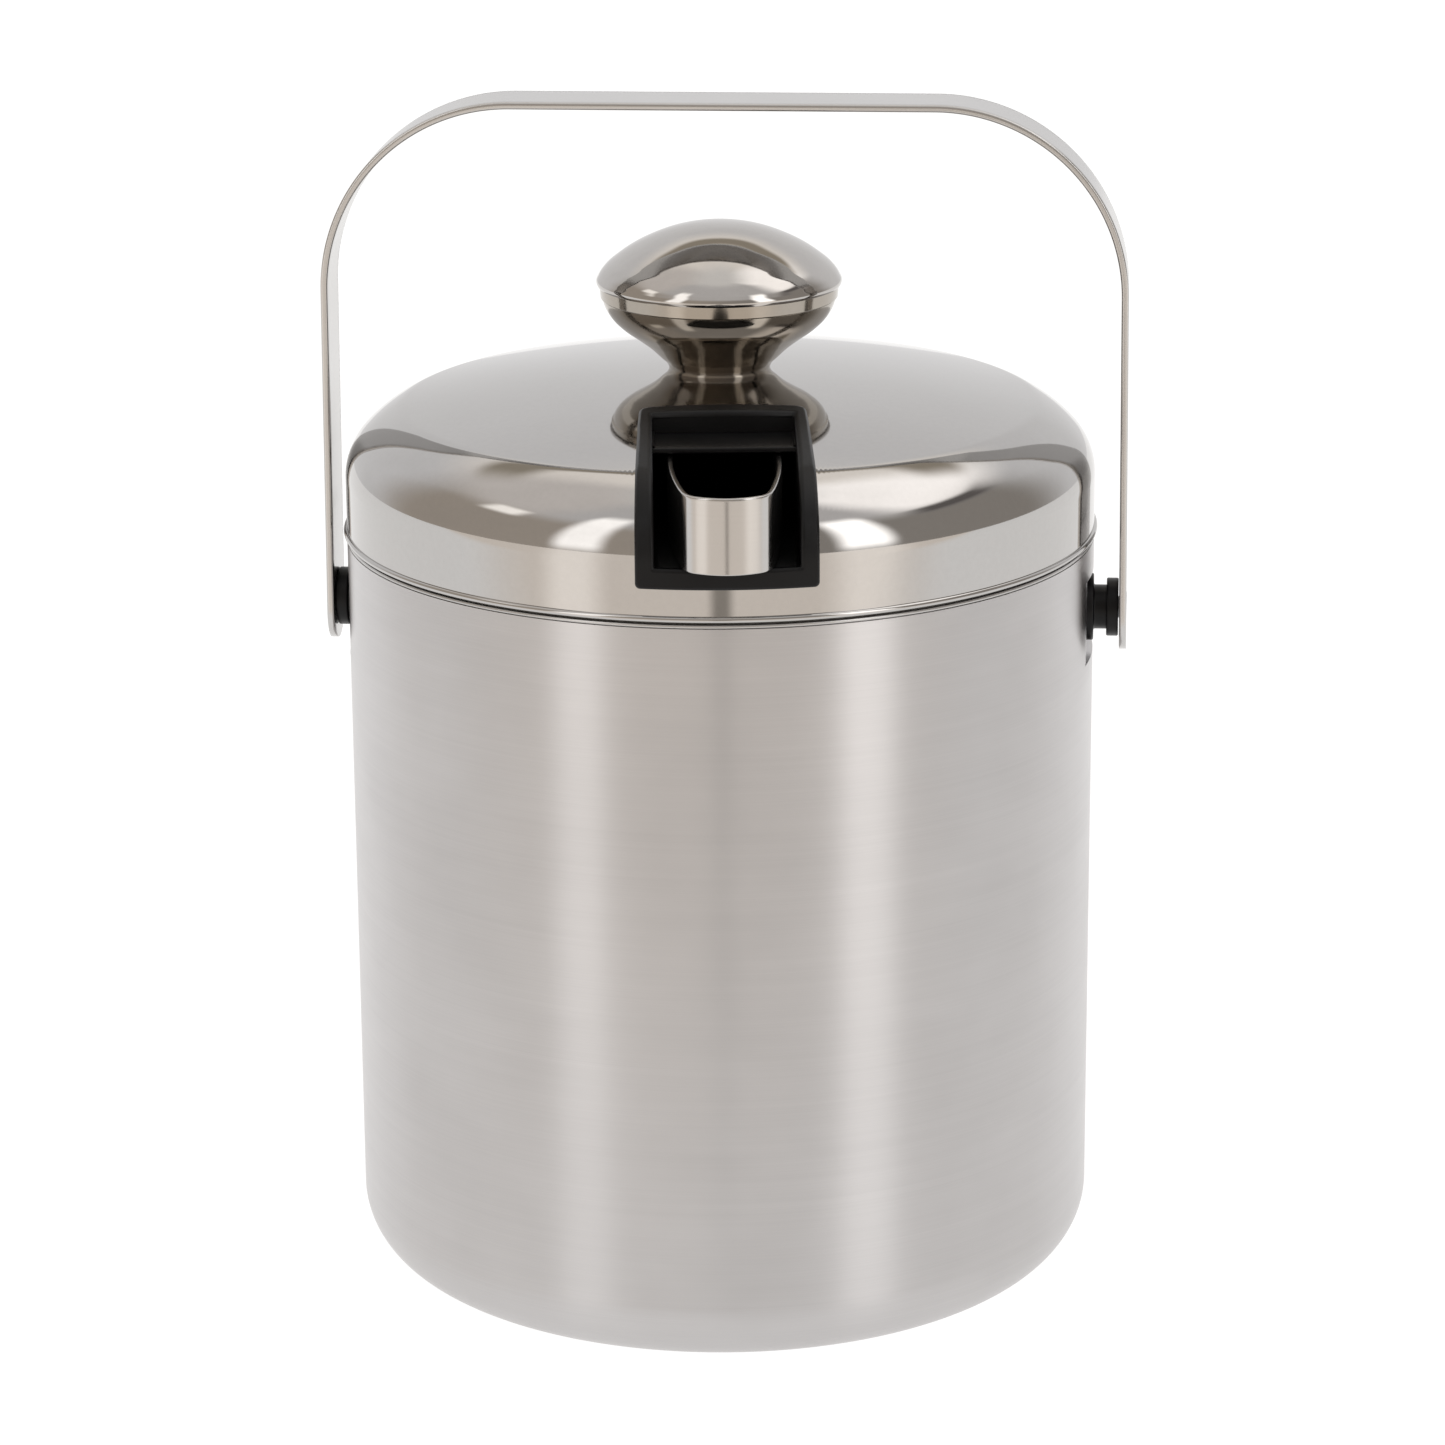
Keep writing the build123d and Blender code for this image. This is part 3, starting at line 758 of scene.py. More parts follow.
# ------------------------------------------------------------------ lid
@dataclass
class Lid:
    """Lid shell with the opening for the pocket, its pan and its seal."""

    radius: float = 72.5
    sheet: float = 0.8
    top: float = 179.0
    crown: float = 285.0
    crown_end: float = 60.5
    crease: float = 8.0
    crease_tilt: float = 27.0
    shoulder_tilt: float = 45.4
    shoulder: float = 11.8
    edge: float = 147.6
    bead: float = 0.6
    turn: float = 5.6
    plug: float = 64.4
    pan_floor: float = 142.0
    pan_corner: float = 3.0
    pan_rim: float = 4.0
    pan_gap: float = 0.1
    flange: float = 148.4
    seal_radii: tuple = (66.4, 70.8)
    seal_foot: float = 147.25
    seal_edge: float = 0.25
    hole_half: float = 15.1
    hole_rear: float = 32.0
    hole_foot: float = 155.2
    columns: int = 420

    def __post_init__(self) -> None:
        """Works out the section's four arcs, each from the one before, so that they run into each other.

        The dome, the crease, the wide arc and the shoulder meet where they have the same tilt from vertical.
        Each centre lies (radius before - radius) along the shared direction from the centre before, and the
        wide arc's radius is what is left over for it to end on the wall.
        """
        dome_tilt = math.asin(self.crown_end / self.crown)
        self.tilts = np.array([0.0, dome_tilt, *np.radians([self.crease_tilt, self.shoulder_tilt, 90.0])])
        sines = np.sin(self.tilts)
        left = self.radius - self.crown_end - self.shoulder * (1 - sines[3])
        wide = (left - self.crease * (sines[2] - sines[1])) / (sines[3] - sines[2])
        self.radii = np.array([self.crown, self.crease, wide, self.shoulder])
        shared = np.stack([sines, np.cos(self.tilts)], axis=-1)[1:4]
        steps = (self.radii[:-1] - self.radii[1:])[:, None] * shared
        self.centres = np.concatenate([[[0.0, 0.0]], np.cumsum(steps, axis=0)]) + (0.0, self.top - self.crown)
        self.starts = np.concatenate([[0.0], np.cumsum(self.radii * np.diff(self.tilts))])

    def build(self) -> None:
        """Makes and dresses the lid's pieces."""
        make_piece("lid_skin", self.shell(), MIRROR.material(), "lid", "lid_shell")
        make_piece("lid_pan_skin", self.pan(), SATIN.material(), "lid", "lid_pan")
        make_piece("lid_seal_ring", self.seal(), SEAL.material(), "lid", "lid_seal")

    def spot(self, s: Any, offset: Any) -> tuple[Array, Array, Array, Array]:
        """Section at a distance s from the apex: the four arcs, then the straight wall, all offset outwards.

        With t the tilt from vertical, place = centre + (arc radius + offset) * (sin t, cos t).

        Args:
            s: distances down the section.
            offset: distances out from it.

        Returns:
            Radius, height, and the outward direction's radial and vertical parts.
        """
        s = np.asarray(s, float)
        k = np.clip(np.searchsorted(self.starts, s, side="right") - 1, 0, 3)
        tilt = np.minimum(self.tilts[k] + (s - self.starts[k]) / self.radii[k], math.pi / 2)
        a, b = np.sin(tilt), np.cos(tilt)
        r = self.centres[k, 0] + (self.radii[k] + offset) * a
        z = self.centres[k, 1] + (self.radii[k] + offset) * b - np.maximum(s - self.starts[-1], 0.0)
        return r, z, a, b

    def reach(self, radius: Any, offset: float) -> Any:
        """Distance down the section at which the offset dome or shoulder has a radius."""
        s = np.linspace(0.0, self.starts[-1], 8001)
        return np.interp(radius, self.spot(s, offset)[0], s)

    def reach_height(self, height: float, offset: float) -> float:
        """Distance down the section at which the offset section has a height."""
        s = np.linspace(0.0, self.starts[-1] + 20.0, 8001)
        return float(np.interp(-height, -self.spot(s, offset)[1], s))

    def in_frame(self, points: Array) -> Array:
        """Turns (across, forward, height) into the frame: across * right + forward * front."""
        a = math.radians(self.turn)
        across, forward = points[..., 0], points[..., 1]
        x = across * math.cos(a) + forward * math.sin(a)
        y = across * math.sin(a) - forward * math.cos(a)
        return np.stack([x, y, points[..., 2]], axis=-1)

    def skin(self, inset: float, sign: int) -> list[Patch]:
        """One face of the lid with its opening, as grids in angle and distance down the section.

        Seen from above the opening is the strip |across| < half and forward > rear. So the inner grid ends
        at the radius rear / cos(angle), the outer grid starts at half / sin(angle), and both meet at the
        opening's corner radius everywhere else; on the wall the opening ends at its foot.

        Args:
            inset: distance in from the outside.
            sign: 1 for the outer face, -1 for the inner one.

        Returns:
            The patches from the apex to the foot of the wall.
        """
        wall_r = self.radius - inset
        corner = math.hypot(self.hole_half, self.hole_rear)
        corner_angle = math.atan2(self.hole_half, self.hole_rear)
        slot_angle = math.asin(self.hole_half / wall_r)
        marks = [corner_angle, slot_angle, slot_angle + 1e-3]
        even = np.linspace(-math.pi, math.pi, self.columns + 1)
        angle = np.unique(np.concatenate([even, marks, np.negative(marks)]))
        away = np.abs(angle)
        in_slot = away <= slot_angle + 1e-9
        rear = np.where(away <= corner_angle + 1e-9, self.hole_rear / np.cos(angle), corner)
        front = np.where(away <= corner_angle + 1e-9, self.hole_half / np.maximum(np.sin(away), 1e-3), corner)
        s_wall = float(self.starts[-1])
        s_front = np.where(front < wall_r, self.reach(np.minimum(front, wall_r), -inset), s_wall)
        s_rear = self.reach(rear, -inset)
        foot = self.edge + (2 * self.bead if sign > 0 else 0.0)
        s_foot = self.reach_height(foot, 0.0)
        s_low = np.where(in_slot, self.reach_height(self.hole_foot, 0.0), s_wall)
        rows = (16, 110, 8) if sign > 0 else (8, 36, 4)
        ends = ((0.0 * s_rear, s_rear), (s_front, s_wall), (s_low, s_foot))
        grids = [a + (b - a) * np.linspace(0, 1, n)[:, None] for n, (a, b) in zip(rows, ends)]
        beside = ~(in_slot[:-1] & in_slot[1:])
        keeps = [None, np.repeat(beside[None], rows[1] - 1, axis=0), None]
        patches = []
        for s, keep in zip(grids, keeps):
            r, z, a, b = self.spot(s, -inset)
            sin, cos = np.sin(angle)[None], np.cos(angle)[None]
            points = self.in_frame(np.stack([r * sin, r * cos, z], axis=-1))
            facing = self.in_frame(np.stack([a * sin, a * cos, b], axis=-1))
            patches.append(Patch(points, sign * facing, keep=keep))
        return patches

    def shell(self) -> list[Patch]:
        """Both faces of the lid and the bead on its edge; the pocket's frame covers the opening's edge."""
        outer, inner = self.skin(0.0, 1), self.skin(self.sheet, -1)
        edge = outer[2].points[-1]
        a = np.arctan2(edge[:, 1], edge[:, 0])
        r, z, b = self.radius, self.edge, self.bead
        bead = joined(arc((r, z + b), b, 90, -90, 14), line((r, z), (r - self.sheet, z), 3))
        facing = run_normals(bead)
        facing = np.where((np.arange(len(bead)) < 14)[:, None], unit(bead - (r, z + b)), facing)
        ring = np.stack([np.cos(a), np.sin(a)], axis=-1)
        return [*outer, *inner, Patch(round_ring(bead, ring), round_ring(facing, ring))]

    def pan(self) -> list[Patch]:
        """Pan: shallow dish that enters the liner, with a flange and an upturned rim."""
        t, z, r, f, c, up = self.sheet, self.pan_floor, self.plug, self.flange, self.pan_corner, self.pan_rim
        rim = self.radius - t - self.pan_gap
        outside = joined(line((0, z), (r - c, z), 8), arc((r - c, z + c), c, -90, 0, 12),
                         line((r, z + c), (r, f), 4))
        inside = joined(line((r - t, f + t), (r - t, z + c), 4), arc((r - c, z + c), c - t, 0, -90, 12),
                        line((r - c, z + t), (0, z + t), 8))
        corners = [(r, f), (rim, f), (rim, f + up), (rim - t, f + up), (rim - t, f + t), (r - t, f + t)]
        edges = [line(*ends) for ends in zip(corners, corners[1:], (4, 3, 2, 3, 3))]
        return revolved([outside, *edges, inside], 240)

    def seal(self) -> list[Patch]:
        """Seal: flat ring with soft outer corners."""
        (r0, r1), z0, z1, e = self.seal_radii, self.seal_foot, self.flange, self.seal_edge
        return revolved(
            [
                joined(line((r0 + e, z0), (r1 - e, z0), 3), arc((r1 - e, z0 + e), e, -90, 0, 5),
                       line((r1, z0 + e), (r1, z1), 3)),
                line((r1, z1), (r0, z1), 3),
                joined(line((r0, z1), (r0, z0 + e), 3), arc((r0 + e, z0 + e), e, 180, 270, 5)),
            ],
            180,
        )


# ------------------------------------------------------------------ pocket
@dataclass
class Pocket:
    """The plastic pocket that the tongs slide into, with its frame standing a little off the lid."""

    lid: Lid
    proud: float = 1.2
    rear: float = 30.5
    foot: float = 153.9
    foot_half: float = 16.7
    rear_half: float = 15.6
    inner_half: float = 13.2
    recess: float = 35.0
    floor: float = 158.0
    ceiling: float = 172.9
    roof: float = 174.0
    roof_front: float = 47.0
    bead: float = 0.42
    end: float = -33.8
    plug_half: float = 15.0
    skin: float = 1.2
    soft_out: float = 0.7
    soft_in: float = 1.1
    sink: float = 0.05

    def build(self) -> None:
        """Makes and dresses the pocket."""
        patches = [*self.frame_ring(), *self.inside(), *self.roof_panel(), *self.outside()]
        make_piece("pocket_moulding", patches, BLACK.material(), "lid", "tong_pocket")

    def surface(self, across: Array, along: Array, depth: Array) -> tuple[Array, Array, Array, Array]:
        """Places on the lid offset by proud - depth, from a distance across and a distance down the section.

        With the section point (r, z) and its outward direction (a, b) at distance s, and the point's own
        angle p = asin(across / r): place = (across, r cos p, z), outward = (a sin p, a cos p, b).

        Returns:
            Places, outward directions, and the unit directions across and down the surface.
        """
        r, z, a, b = self.lid.spot(along, self.proud - depth)
        sin_p = across / np.maximum(r, 1e-6)
        cos_p = np.sqrt(np.maximum(1 - sin_p**2, 0))
        place = np.stack([across, r * cos_p, z], axis=-1)
        out = np.stack([a * sin_p, a * cos_p, b], axis=-1)
        down = np.stack([b * sin_p, b * cos_p, -a], axis=-1)
        return place, out, np.cross(down, out), down

    def loop(self, half_rear: float, half_foot: float, start: float, stop: float, r_rear: float,
             r_foot: float) -> tuple[Array, Array]:
        """Rounded outline in (across, down the section), walked from the rear middle over the right.

        Args:
            half_rear: half width at the rear.
            half_foot: half width at the foot.
            start: distance down the section of the rear edge.
            stop: distance down the section of the foot.
            r_rear: corner radius at the rear.
            r_foot: corner radius at the foot.

        Returns:
            (n, 2) points and the outline's outward directions.
        """
        corner_r = arc((half_rear - r_rear, start + r_rear), r_rear, -90, 0, 10)
        corner_f = arc((half_foot - r_foot, stop - r_foot), r_foot, 0, 90, 10)
        along = np.linspace(corner_r[-1, 1], corner_f[0, 1], 64)
        forward = np.minimum(self.lid.spot(along, self.proud)[0], self.lid.radius) - self.rear
        across = half_rear + (half_foot - half_rear) * forward / (self.lid.radius - self.rear)
        side = np.stack([across, along], axis=-1)
        side[0], side[-1] = corner_r[-1], corner_f[0]
        rear, foot = line((0, start), corner_r[0], 14), line(corner_f[-1], (0, stop), 14)
        right = joined(rear, corner_r, side, corner_f, foot)
        facing = run_normals(right)
        left, left_facing = right[::-1] * (-1, 1), facing[::-1] * (-1, 1)
        return np.concatenate([right, left[1:-1]]), np.concatenate([facing, left_facing[1:-1]])

    def frame_ring(self) -> list[Patch]:
        """Frame: over a soft inner edge, the flat top and a soft outer edge down to the lid.

        Each row is one line round the frame, given by its distance in from the nearer outline, its depth
        under the top, how far its direction leans to the side, and which outline it follows.

        Returns:
            One patch, closed round the frame.
        """
        s_rear, s_foot = self.lid.reach(self.rear, self.proud), self.lid.reach_height(self.foot, self.proud)
        s_in, s_lip = self.lid.reach(self.recess, self.proud), self.lid.reach_height(self.floor, self.proud)
        outer, facing = self.loop(self.rear_half, self.foot_half, s_rear, s_foot, 2.4, 0.9)
        inner, inner_facing = self.loop(self.inner_half, self.inner_half, s_in, s_lip, 0.35, 0.35)
        outer[:, 1] = self.straight_rear(outer, s_rear, self.rear)
        inner[:, 1] = self.straight_rear(inner, s_in, self.recess)
        a = np.radians(np.linspace(90, 0, 7))
        span = np.linalg.norm(outer - inner, axis=1)
        turn = list(zip(1 - np.sin(a), 1 - np.cos(a), np.sin(a)))
        rows = [(self.soft_in * inset, self.soft_in * depth, -lean, "in") for inset, depth, lean in turn]
        rows.append((0.0, 0.0, 0.0, "top"))
        rows += [(self.soft_out * inset, self.soft_out * depth, lean, "out")
                 for inset, depth, lean in turn[::-1]]
        rows.append((0.0, self.proud + self.sink, 1.0, "out"))
        places, normals = [], []
        for inset, depth, lean, which in rows:
            share = (inset / span)[:, None]
            spot = {"in": inner + (outer - inner) * share, "top": (inner + outer) / 2,
                    "out": outer + (inner - outer) * share}[which]
            aside = inner_facing if which == "in" else facing
            place, out, across, down = self.surface(spot[:, 0], spot[:, 1], np.full(len(spot), depth))
            side = aside[:, :1] * across + aside[:, 1:] * down
            places.append(place)
            normals.append(unit(math.sqrt(max(0.0, 1 - lean**2)) * out + lean * side))
        self.inner_edge = places[0]
        points, out = self.lid.in_frame(np.stack(places)), self.lid.in_frame(np.stack(normals))
        return [Patch(points, out, wrap=True)]

    def straight_rear(self, outline: Array, start: float, forward: float) -> Array:
        """Distances down the section that keep the rear edge straight across."""
        r = np.hypot(outline[:, 0], forward)
        gain = self.lid.reach(r, self.proud) - self.lid.reach(np.full_like(r, forward), self.proud)
        fade = np.clip(1 - (outline[:, 1] - start) / 12.0, 0, 1)
        return outline[:, 1] + gain * fade

    def inside(self) -> list[Patch]:
        """Walls and floor of the pocket, from the frame's inner edge down and back to the closed end."""
        h, patches = self.inner_half, []
        edge = self.inner_edge
        for side in (1, -1):
            top = edge[(edge[:, 0] * side > h - 0.4) & (edge[:, 1] > self.recess)]
            top = top[np.argsort(top[:, 1])]
            rear, front = (side * h, self.recess, top[0, 2]), (side * h, self.front_at(h), self.floor)
            top = np.concatenate([[rear], top, [front]])
            bottom = np.stack([side * h + 0 * top[:, 0], top[:, 1], self.floor + 0 * top[:, 0]], axis=-1)
            t = np.linspace(0, 1, 6)[:, None, None]
            points = top[None] * (1 - t) + bottom[None] * t
            patches.append(self.flat(points, (-side, 0, 0)))
            patches.append(self.upright(side * h, self.end, self.recess, (-side, 0, 0)))
        rear = edge[np.abs(edge[:, 1] - self.recess) < 0.5]
        rear = rear[np.argsort(rear[:, 0])]
        low = rear * (1, 1, 0) + (0, 0, self.roof)
        patches.append(self.flat(np.stack([rear, low]), (0, 1, 0)))
        u = np.linspace(-h, h, 25)
        front = np.stack([u, self.front_at(u), np.full(25, self.floor)], axis=-1)
        back = front * (1, 0, 1) + (0, self.end, 0)
        patches.append(self.flat(np.stack([back, front * (1, 0.5, 1), front]), (0, 0, 1)))
        patches.append(self.quad(((-h, self.end, self.floor), (h, self.end, self.floor),
                                  (h, self.end, self.ceiling), (-h, self.end, self.ceiling)), (0, 1, 0)))
        return patches

    def upright(self, across: float, start: float, stop: float, facing: Sequence[float]) -> Patch:
        """Wall from the floor to the ceiling, along a line from front to back."""
        low, high = self.floor, self.ceiling
        corners = ((start, low), (stop, low), (stop, high), (start, high))
        return self.quad([(across, forward, height) for forward, height in corners], facing)

    def front_at(self, across: Any) -> Any:
        """Forward distance of the frame's front face at a distance across."""
        return np.sqrt((self.lid.radius + self.proud - 0.4) ** 2 - np.square(across))

    def roof_panel(self) -> list[Patch]:
        """Roof panel: thin plate with a small roll along its front edge and a raised bead along each side."""
        h, r = self.inner_half, 0.35
        section = joined(
            line((self.end, self.ceiling), (self.roof_front - r, self.ceiling), 4),
            arc((self.roof_front - r, self.ceiling + r), r, -90, 0, 6),
            line((self.roof_front, self.ceiling + r), (self.roof_front, self.roof - r), 2),
            arc((self.roof_front - r, self.roof - r), r, 0, 90, 6),
            line((self.roof_front - r, self.roof), (self.recess, self.roof), 6),
        )
        facing = run_normals(section)
        none = np.zeros((len(section), 1))
        points = np.stack([np.concatenate([none + u, section], axis=-1) for u in (-h, h)])
        normals = np.stack([np.concatenate([none, facing], axis=-1)] * 2)
        patches = [Patch(self.lid.in_frame(points), self.lid.in_frame(normals))]
        for side in (1, -1):
            middle = np.array([side * (h - self.sink), self.roof])
            bead = arc(middle, self.bead, 0, 180, 9)
            out = unit(bead - middle)
            ends = (self.recess, self.roof_front - r)
            points = np.stack([np.stack([bead[:, 0], 0 * bead[:, 0] + v, bead[:, 1]], axis=-1) for v in ends])
            normals = np.stack([np.stack([out[:, 0], 0 * out[:, 0], out[:, 1]], axis=-1)] * 2)
            patches.append(Patch(self.lid.in_frame(points), self.lid.in_frame(normals)))
        return patches

    def outside(self) -> list[Patch]:
        """Hidden outside of the pocket under the lid."""
        h, v0, v1 = self.plug_half, self.end - self.skin, self.lid.radius - 3.0
        z0, z1 = self.floor - 2.3, self.roof
        back = self.rear + 1.6
        patches = [
            self.quad(((-h, v0, z0), (h, v0, z0), (h, v1, z0), (-h, v1, z0)), (0, 0, -1)),
            self.quad(((-h, v0, z0), (h, v0, z0), (h, v0, z1), (-h, v0, z1)), (0, -1, 0)),
            self.quad(((-h, v0, z1), (h, v0, z1), (h, back, z1), (-h, back, z1)), (0, 0, 1)),
        ]
        for side in (1, -1):
            u = side * h
            patches.append(self.quad(((u, v0, z0), (u, v1, z0), (u, v1, z0 + 2), (u, v0, z1)), (side, 0, 0)))
        return patches

    def flat(self, points: Array, facing: Sequence[float]) -> Patch:
        """A flat patch with one outward direction."""
        points = np.asarray(points, float)
        normals = np.broadcast_to(np.asarray(facing, float), points.shape)
        return Patch(self.lid.in_frame(points), self.lid.in_frame(normals))

    def quad(self, corners: Sequence[Sequence[float]], facing: Sequence[float]) -> Patch:
        """A flat four-cornered patch."""
        a, b, c, d = corners
        return self.flat(np.array([[a, b], [d, c]], float), facing)


# ------------------------------------------------------------------ tongs
@dataclass
class Tongs:
    """Sprung tongs: one strip bent round into a bow, with notched tips."""

    lid: Lid
    thick: float = 1.0
    low: float = 158.3
    high: float = 172.5
    edge: float = 0.28
    notch: float = 1.7
    teeth: int = 4
    half: tuple = (
        (6.4, -32.6), (9.4, -27.0), (11.2, -19.0), (11.2, -8.0), (10.6, 10.0), (10.5, 30.0), (10.5, 46.3),
        (10.5, 51.9), (10.15, 59.7), (9.35, 67.5), (8.5, 73.0), (7.85, 75.6), (6.9, 77.3), (4.6, 78.75),
    )

    def build(self) -> None:
        """Makes and dresses the tongs."""
        make_piece("tongs_strip", self.strip(), TONGS.material(), "tongs", "tongs")

    def strip(self) -> list[Patch]:
        """The strip: outside line, thickness inwards; each end drawn back by a triangle wave of the height.

        Returns:
            The closed skin and the two end caps.
        """
        right = np.array(self.half)
        outline = np.concatenate([right, [[0.0, 79.8]], right[::-1] * (-1, 1)])
        run = smooth_run(outline, 520)
        s = np.concatenate([[0.0], np.cumsum(np.linalg.norm(np.diff(run, axis=0), axis=1))])
        e, t, h = self.edge, self.thick, self.high - self.low
        z = np.linspace(e, h - e, 8 * self.teeth + 1)
        up = np.stack([np.zeros_like(z), z], axis=-1)
        section = joined(
            up,
            arc((e, h - e), e, 180, 90, 6),
            arc((t - e, h - e), e, 90, 0, 6),
            (up * (0, 1) + (t, 0))[::-1],
            arc((t - e, e), e, 0, -90, 6),
            arc((e, e), e, 270, 180, 6),
        )
        away, lift = run_normals(section)[None, :, 0], -run_normals(section)[None, :, 1]
        wave = self.notch * (1 - np.abs(2 * np.mod(section[:, 1] / h * self.teeth, 1.0) - 1))
        along = wave + (s[-1] - 2 * wave) * (s / s[-1])[:, None]
        x, y = np.interp(along, s, run[:, 0]), np.interp(along, s, run[:, 1])
        side = run_normals(run)
        sx, sy = np.interp(along, s, side[:, 0]), np.interp(along, s, side[:, 1])
        depth, height = np.broadcast_arrays(section[:, 0], section[:, 1], along)[:2]
        points = np.stack([x - sx * depth, y - sy * depth, self.low + height], axis=-1)
        normals = np.stack([sx * away, sy * away, np.broadcast_to(lift, x.shape)], axis=-1)
        grain = np.stack([along, depth, height], axis=-1)
        skin = Patch(self.lid.in_frame(points), unit(self.lid.in_frame(normals)), wrap=True, grain=grain)
        patches = [skin]
        for row, sign in ((0, -1.0), (-1, 1.0)):
            ring = points[row]
            cap = np.stack([0.5 * (ring + ring[::-1]), ring])
            ahead = unit(np.gradient(run, s, axis=0)[row]) * sign
            direction = np.broadcast_to(np.array([ahead[0], ahead[1], 0.0]), cap.shape)
            patches.append(Patch(self.lid.in_frame(cap), self.lid.in_frame(direction), wrap=True))
        return patches


# ------------------------------------------------------------------ knob
@dataclass
class Knob:
    """Hollow knob: a domed cap over a turned cup."""

    sheet: float = 0.8
    seam: float = 195.1
    bore: float = 2.3
    crown: float = 285.0
    crown_centre: float = -106.0
    dome: tuple = (
        (5.0, 206.75), (9.6, 205.7), (13.5, 204.2), (17.0, 202.4), (19.65, 200.6), (21.8, 198.8),
        (23.1, 197.1), (23.6, 195.9), (23.4, 195.2),
    )
    top: float = 207.1
    sweep: tuple = (
        (22.45, 192.6), (21.95, 191.0), (20.75, 189.0), (18.75, 187.0), (16.0, 185.0), (13.4, 183.0),
        (11.5, 181.2), (10.1, 179.8), (9.6, 178.3),
    )
    hollow: tuple = (
        (8.8, 180.1), (10.4, 181.6), (12.4, 183.5), (15.1, 185.6), (17.9, 187.7), (20.0, 189.8),
        (21.2, 192.6),
    )

    def build(self) -> None:
        """Makes and dresses the cap and the cup."""
        finish = KNOB_MIRROR.material()
        make_piece("knob_cap_skin", self.cap(), finish, "lid", "knob_cap")
        # The cup's darker, warmer tint is painted reflection.
        make_piece("knob_cup_skin", self.cup(), CUP_STEEL_PAINTED_REFLECTION.material(), "lid", "knob_cup")

    def cap(self) -> list[Patch]:
        """Cap: shallow dome with a tight turn at its widest.

        It is drawn through points on both sides of the axis, so that it is level at the top. The inside is
        the same run moved in along its directions by the sheet.

        Returns:
            The cap's patches.
        """
        half = np.array(self.dome)
        both = smooth_run(np.concatenate([half[::-1] * (-1, 1), [[0.0, self.top]], half]), 241)
        outer = both[120:]
        outer[0, 0] = 0.0
        facing = -run_normals(outer)
        facing[0] = (0.0, 1.0)
        inner = outer - self.sheet * facing
        rim = np.stack([outer[-1], inner[-1]])
        patches = []
        for run, out in ((outer, facing), (rim, np.tile([0.0, -1.0], (2, 1))), (inner, -facing)):
            points, turned_out = turned(run, out, 200)
            patches.append(Patch(points, turned_out, wrap=True))
        return patches

    def cup(self) -> list[Patch]:
        """Cup: a bright ring and a small step under the seam, then an hourglass sweep down to the lid."""
        sweep = smooth_run(self.sweep, 70)
        height = self.crown_centre + np.sqrt(self.crown**2 - sweep[:, 0] ** 2)
        sweep = sweep[sweep[:, 1] >= height]
        foot = (sweep[-1, 0], float(self.crown_centre + math.sqrt(self.crown**2 - sweep[-1, 0] ** 2)))
        sweep = np.concatenate([sweep, [foot]])
        inside = smooth_run(self.hollow, 40)
        seam, bore, under, over = self.seam, self.bore, 178.9, self.hollow[0][1]
        walk = [
            line((21.8, seam), (23.0, seam)),
            line((23.0, seam), (22.8, 192.9), 4),
            line((22.8, 192.9), sweep[0]),
            sweep,
            line(foot, (bore, under)),
            line((bore, under), (bore, over)),
            line((bore, over), self.hollow[0]),
            inside,
            line(self.hollow[-1], (21.8, seam)),
        ]
        return revolved([run[::-1] for run in walk[::-1]], 200)


# ------------------------------------------------------------------ studio
@dataclass(frozen=True)
class SoftBox:
    """One soft-edged patch of the dome: azimuth, half width, elevations where it fades in and out."""

    azimuth: float
    half: float
    heights: tuple
    colour: tuple


